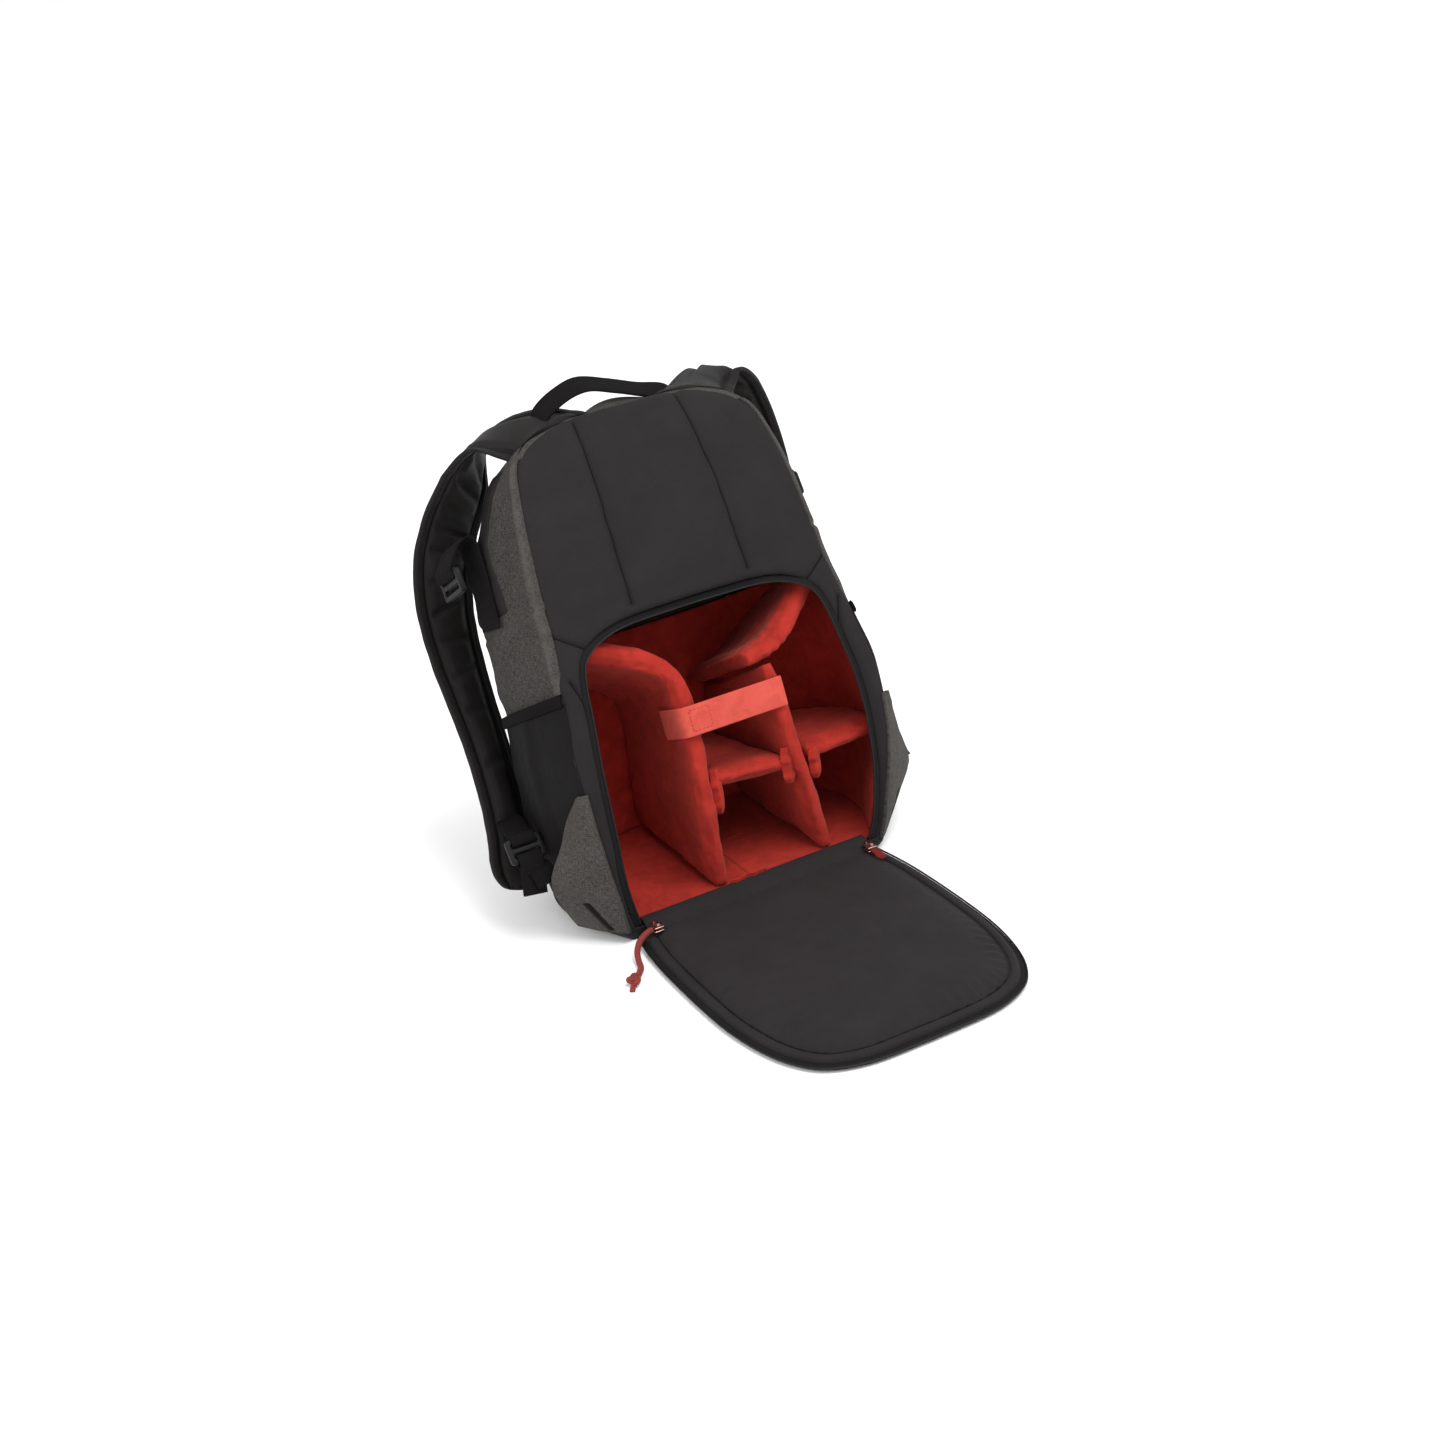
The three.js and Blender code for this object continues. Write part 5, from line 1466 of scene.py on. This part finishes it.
def strap_line(swing):
    points = []
    for i in range(STRAP_ROWS + 1):
        way = pi * i / STRAP_ROWS
        across = HALF_WIDTH * STRAP["out"][i] * (1 - swing["inward"] * sin(way))
        arch = swing["rise"] * max(0, 1 - ((i - CREST) / CREST) ** 2)
        deep = DEPTH * STRAP["deep"][i] + swing["back"] * sin(way / 2)
        points.append(slump(swing["side"] * across, deep, HEIGHT * (STRAP["up"][i] + arch)))
    return points


def strap_curve(points):
    """The curve through the strap's rows, with one equal share of it for each row."""
    ends = [2 * points[0] - points[1], *points, 2 * points[-1] - points[-2]]

    def at(u):
        place = min(max(u, 0), 1) * (len(points) - 1)
        i = min(int(place), len(points) - 2)
        a, b, c, d = ends[i:i + 4]
        before = sqrt((b - a).length)
        span = sqrt((c - b).length)
        after = sqrt((d - c).length)
        out = ((b - a) / before - (c - a) / (before + span) + (c - b) / span) * span
        into = ((c - b) / span - (d - b) / (span + after) + (d - c) / after) * span
        t = place - i
        return (b + out * t + (3 * (c - b) - 2 * out - into) * t * t
                + (2 * (b - c) + out + into) * t ** 3)

    return at


def strap_frame(swing, curve, u):
    """The strap's middle, its width's way and its face's way at a share of its length."""
    way = direction(curve, u)
    lift = radians(strap_value("lift", u))
    turn = radians(strap_value("turn", u))
    face = Vector((-swing["side"] * sin(turn) * cos(lift), -cos(turn) * cos(lift),
                   sin(lift)))
    face = (face - way * face.dot(way)).normalized()
    return curve(u), way.cross(face), face


def strap_section(across, half, puff, under, wrinkle):
    """How high the strap's skin stands off its middle, with a groove inside the bound border."""
    edge = half * (1 - abs(across))
    border = STRAP_BORDER / 2 * sqrt(max(0.02, 1 - (1 - min(edge / 2.4, 1)) ** 2))
    padded = STRAP_PAD * puff / 2 * (1 - 0.3 * across * across)
    padded *= 0.82 if under else 1
    swell_in = ease((edge - BORDER_WIDE) / 9)
    seam = groove(edge - BORDER_WIDE, 1.5, 1.5)
    return border + (max(padded, border) - border) * swell_in - seam * min(puff * 1.5, 1) - wrinkle * swell_in


def sewn_spot(name, inner, under):
    """A point of the seam in the back panel's top edge, from -1 at its outer end to 1 at its inner end."""
    sewn = SEWN[name]
    along = sewn["start"] + (1 - inner) / 2 * sewn["long"]
    up = HEIGHT
    across = min(along, TOP_HALF)
    while along > TOP_HALF and up > HEIGHT / 2:
        along -= hypot(half_wide(up - 0.5) - half_wide(up), 0.5)
        up -= 0.5
        across = half_wide(up)
    off = (-1 if under else 1.8) * (1 - abs(inner) ** 8)
    return slump(SWINGS[name]["side"] * across, 1.5, up) + Vector((0, 0, off)) * MM


def strap_point(name, curve, u, v):
    """The strap's skin: a seam draws in its first part, where one edge folds in as it turns outward."""
    swing = SWINGS[name]
    sewn = SEWN[name]
    end = max(0.0, u - 0.955) / 0.045
    round_end = sqrt(max(0.0, 1 - end ** 2.2))
    middle, side, face = strap_frame(swing, curve, u)
    folded = ease(u / 0.08) * (1 - ease((u - 0.18) / 0.14))
    shift = sewn["shift"] * ease(u / 0.1) * (1 - ease((u - 0.3) / 0.3))
    arch = sewn["arch"] * exp(-((u - 0.235) / 0.07) ** 2)
    half = STRAP_WIDTH * strap_value("wide", u) / 2 * (0.25 + 0.75 * round_end if end else 1)
    turn = 2 * pi * v
    across = copysign(abs(cos(turn)) ** STRAP_CORNER, cos(turn))
    half *= 1 + (sewn["plus" if across > 0 else "minus"] - 1) * folded
    if across * swing["side"] < 0:
        half *= strap_value("inner", u)
    under = sin(turn) < 0
    row = u * STRAP_ROWS
    wrinkle = 0.0
    for spot, lean, wide, deep in STRAP_WRINKLES:
        off = (row - spot - lean * across) * 30
        wrinkle += deep * exp(-(off / wide) ** 2) * (0.75 + 0.25 * sin(3 * across + spot * 5))
    wrinkle *= 2.0 if under else 0.4
    wrinkle += (0.8 if under else 0.5) * noise.noise(middle / MM / 20 + Vector((0, across * 1.5, under)))
    high = strap_section(across, half, strap_value("puff", u), under, wrinkle) * (round_end if end else 1)
    high = max(high, 0.4) if abs(sin(turn)) > 0.02 else 0
    wave = 1.2 * noise.noise(Vector((u * 26, swing["side"] * 4, 0))) * across
    spot = middle + (side * (across * half + shift) + face * ((-high if under else high) + wave)) * MM
    spot.z += arch * MM
    if u >= sewn["share"]:
        return spot
    return sewn_spot(name, -across * swing["side"], under).lerp(spot, ease(u / sewn["share"]))


def strap_chart(u, v):
    """How far in from the border's edge, and how far along the strap, in millimetres."""
    half = STRAP_WIDTH * strap_value("wide", u) / 2
    return half * (1 - abs(cos(2 * pi * v)) ** STRAP_CORNER), u * STRAP_LONG


for name, swing in SWINGS.items():
    skin = cloth(300, 88, partial(strap_point, name, strap_curve(strap_line(swing))), (STRAP_LONG * MM, 0.14),
                 chart=strap_chart)
    piece(f"strap_pad_{name}", closed(skin), strap_cloth, "black_fabric", f"shoulder_strap_{name}", fill=0.7)


# The haul handle: two layers of webbing sewn in behind the straps, which stands up in a low arch.
HANDLE_WIDTH = 20
HANDLE_ROUTE = [
    # the share of the bag's half width, and how far behind and above the top seam
    (-0.485, 18, -12), (-0.456, 16, 3), (-0.324, 14, 15), (-0.176, 14, 19), (0, 14, 12), (0.184, 13, 3),
    (0.353, 14, -4), (0.441, 18, -14),
]
HANDLE_ACROSS = Vector((0, 0.93, 0.36))
top_seam = slump(0, 0, HEIGHT)
handle_route = spline([top_seam + Vector((HALF_WIDTH * out, behind, above)) * MM
                       for out, behind, above in HANDLE_ROUTE])
piece("haul_handle_webbing", ribbon(handle_route, HANDLE_WIDTH, 3.0, HANDLE_ACROSS, 120, wave=0.5),
      webbing_black, "black_webbing", "haul_handle")


# The ladder locks and the side buckles: moulded black frames with two slots each, whose edges are
# rounded by the mould.
BUCKLE_ROUND = 0.9
moulded = satin_material("moulded_plastic", (0.003, 0.0028, 0.0028), 0.5)


def moulded_copy(name, node):
    """A buckle's solid with its flat faces joined and its edges rounded."""
    bm = solid_of(node)
    bmesh.ops.dissolve_limit(bm, angle_limit=radians(2), verts=bm.verts, edges=bm.edges)
    soft = piece(name, bm, moulded, "black_plastic", node).modifiers.new("rounding", "BEVEL")
    soft.width = BUCKLE_ROUND * MM
    soft.segments = 3
    soft.limit_method = "ANGLE"
    soft.angle_limit = radians(40)


for name in SIDES:
    moulded_copy(f"ladder_lock_frame_{name}", f"ladder_lock_{name}")
    moulded_copy(f"side_buckle_frame_{name}", f"side_buckle_{name}")


# The webbing at the end of each strap: a tab that holds the ladder lock, and the adjusting webbing,
# which comes from the wing, turns round the lock's lower bar and hangs down.
WEBBING = 2.2
ADJUST_WIDTH = 20
BAR_PLACE = 8
TURN = [(4, 3.7), (-1, 3.8), (-3.3, 3), (-3.8, 0), (-3.3, -3), (-1, -3.8), (4, -3.7)]


def turn_round(centre, up, face, way):
    """The turn of a webbing round one of a buckle's end bars, from its front to its back."""
    return [centre + up * way * (BAR_PLACE + off) + face * out for off, out in TURN]


LOCK = (170, -24, 82)
LOCK_UP = Vector((0, 0.62, 0.78)).normalized()
LOCK_FACE = (Vector((0, -1, 0)) + LOCK_UP * LOCK_UP.y).normalized()
LOCK_ACROSS = Vector((1, 0, 0))
TAB_END = [(169, -6, 90), (166, 8, 90), (165, 22, 88)]
ADJUST_HANG = [(174, -41, 50), (172, -37, 64)]
ADJUST_BACK = (165, -37, 67)
ADJUST_END = (162, -43.5, 57)
for name, side in SIDES.items():
    def beside(place, back=SWINGS[name]["back"]):
        return Vector((side * place[0], place[1] + back, place[2]))

    tab_points = [*turn_round(beside(LOCK), LOCK_UP, LOCK_FACE, 1), *map(beside, TAB_END)]
    tab_route = spline([point * MM for point in tab_points])
    piece(f"strap_tab_webbing_{name}", ribbon(tab_route, ADJUST_WIDTH, WEBBING, LOCK_ACROSS, 90),
          webbing_black, "black_webbing", f"strap_tab_{name}")
    tail = [*map(beside, ADJUST_HANG), *turn_round(beside(LOCK), LOCK_UP, LOCK_FACE, -1), beside(ADJUST_BACK),
            beside(ADJUST_END, back=0)]
    tail_route = spline([point * MM for point in tail])
    piece(f"adjusting_webbing_{name}", ribbon(tail_route, ADJUST_WIDTH, WEBBING, LOCK_ACROSS, 120, wave=0.4),
          webbing_black, "black_webbing", f"strap_webbing_{name}")


# The side straps: webbing sewn flat on the side above the pocket, with a loop at its top that holds a
# buckle.
SIDE_STRAP_WIDTH = 26
SEWN_NEARER = 5
SIDE_ROUTE = [
    # the depth and the height as shares of the bag's, and how far off its seat
    (0.3, 0.705, 0), (0.295, 0.763, 0.1), (0.29, 0.8, 1.8), (0.285, 0.84, 4.8), (0.28, 0.868, 9.8),
    (0.275, 0.876, 16.8), (0.27, 0.866, 23.8),
]
BUCKLE_SPOT = (0.27, 0.806, 22.8)
HANGS = {
    # how far back each strap lies, how far off the side, and how much of its standing loop it keeps
    "left": {"back": 0, "seat": 1.2, "stand": 1},
    "right": {"back": 0.1, "seat": 1.8, "stand": 0.4},
}


def on_side(name, row, further=0):
    """A point of the side strap's route, from its row of shares."""
    side = SIDES[name]
    hang = HANGS[name]
    deep = DEPTH * (row[0] + hang["back"]) + further - SEWN_NEARER * (1 - ease(row[2] / 12))
    up = HEIGHT * row[1]
    across, _ = flank(side, turn_at(deep, up), up)
    return slump(side * (across + hang["seat"] + row[2] * hang["stand"]), deep, up) / MM


for name, side in SIDES.items():
    wide_way = (on_side(name, SIDE_ROUTE[1], SIDE_STRAP_WIDTH / 2)
                - on_side(name, SIDE_ROUTE[1], -SIDE_STRAP_WIDTH / 2)).normalized()
    strap_face = (Vector((side, 0, 0)) - wide_way * side * wide_way.x).normalized()
    buckle_up = strap_face.cross(wide_way) * side
    points = [on_side(name, row) for row in SIDE_ROUTE]
    points += turn_round(on_side(name, BUCKLE_SPOT), buckle_up, strap_face, 1)
    side_route = spline([point * MM for point in points])
    piece(f"side_strap_webbing_{name}", ribbon(side_route, SIDE_STRAP_WIDTH, WEBBING, wide_way, 140),
          webbing_black, "black_webbing", f"side_strap_{name}")
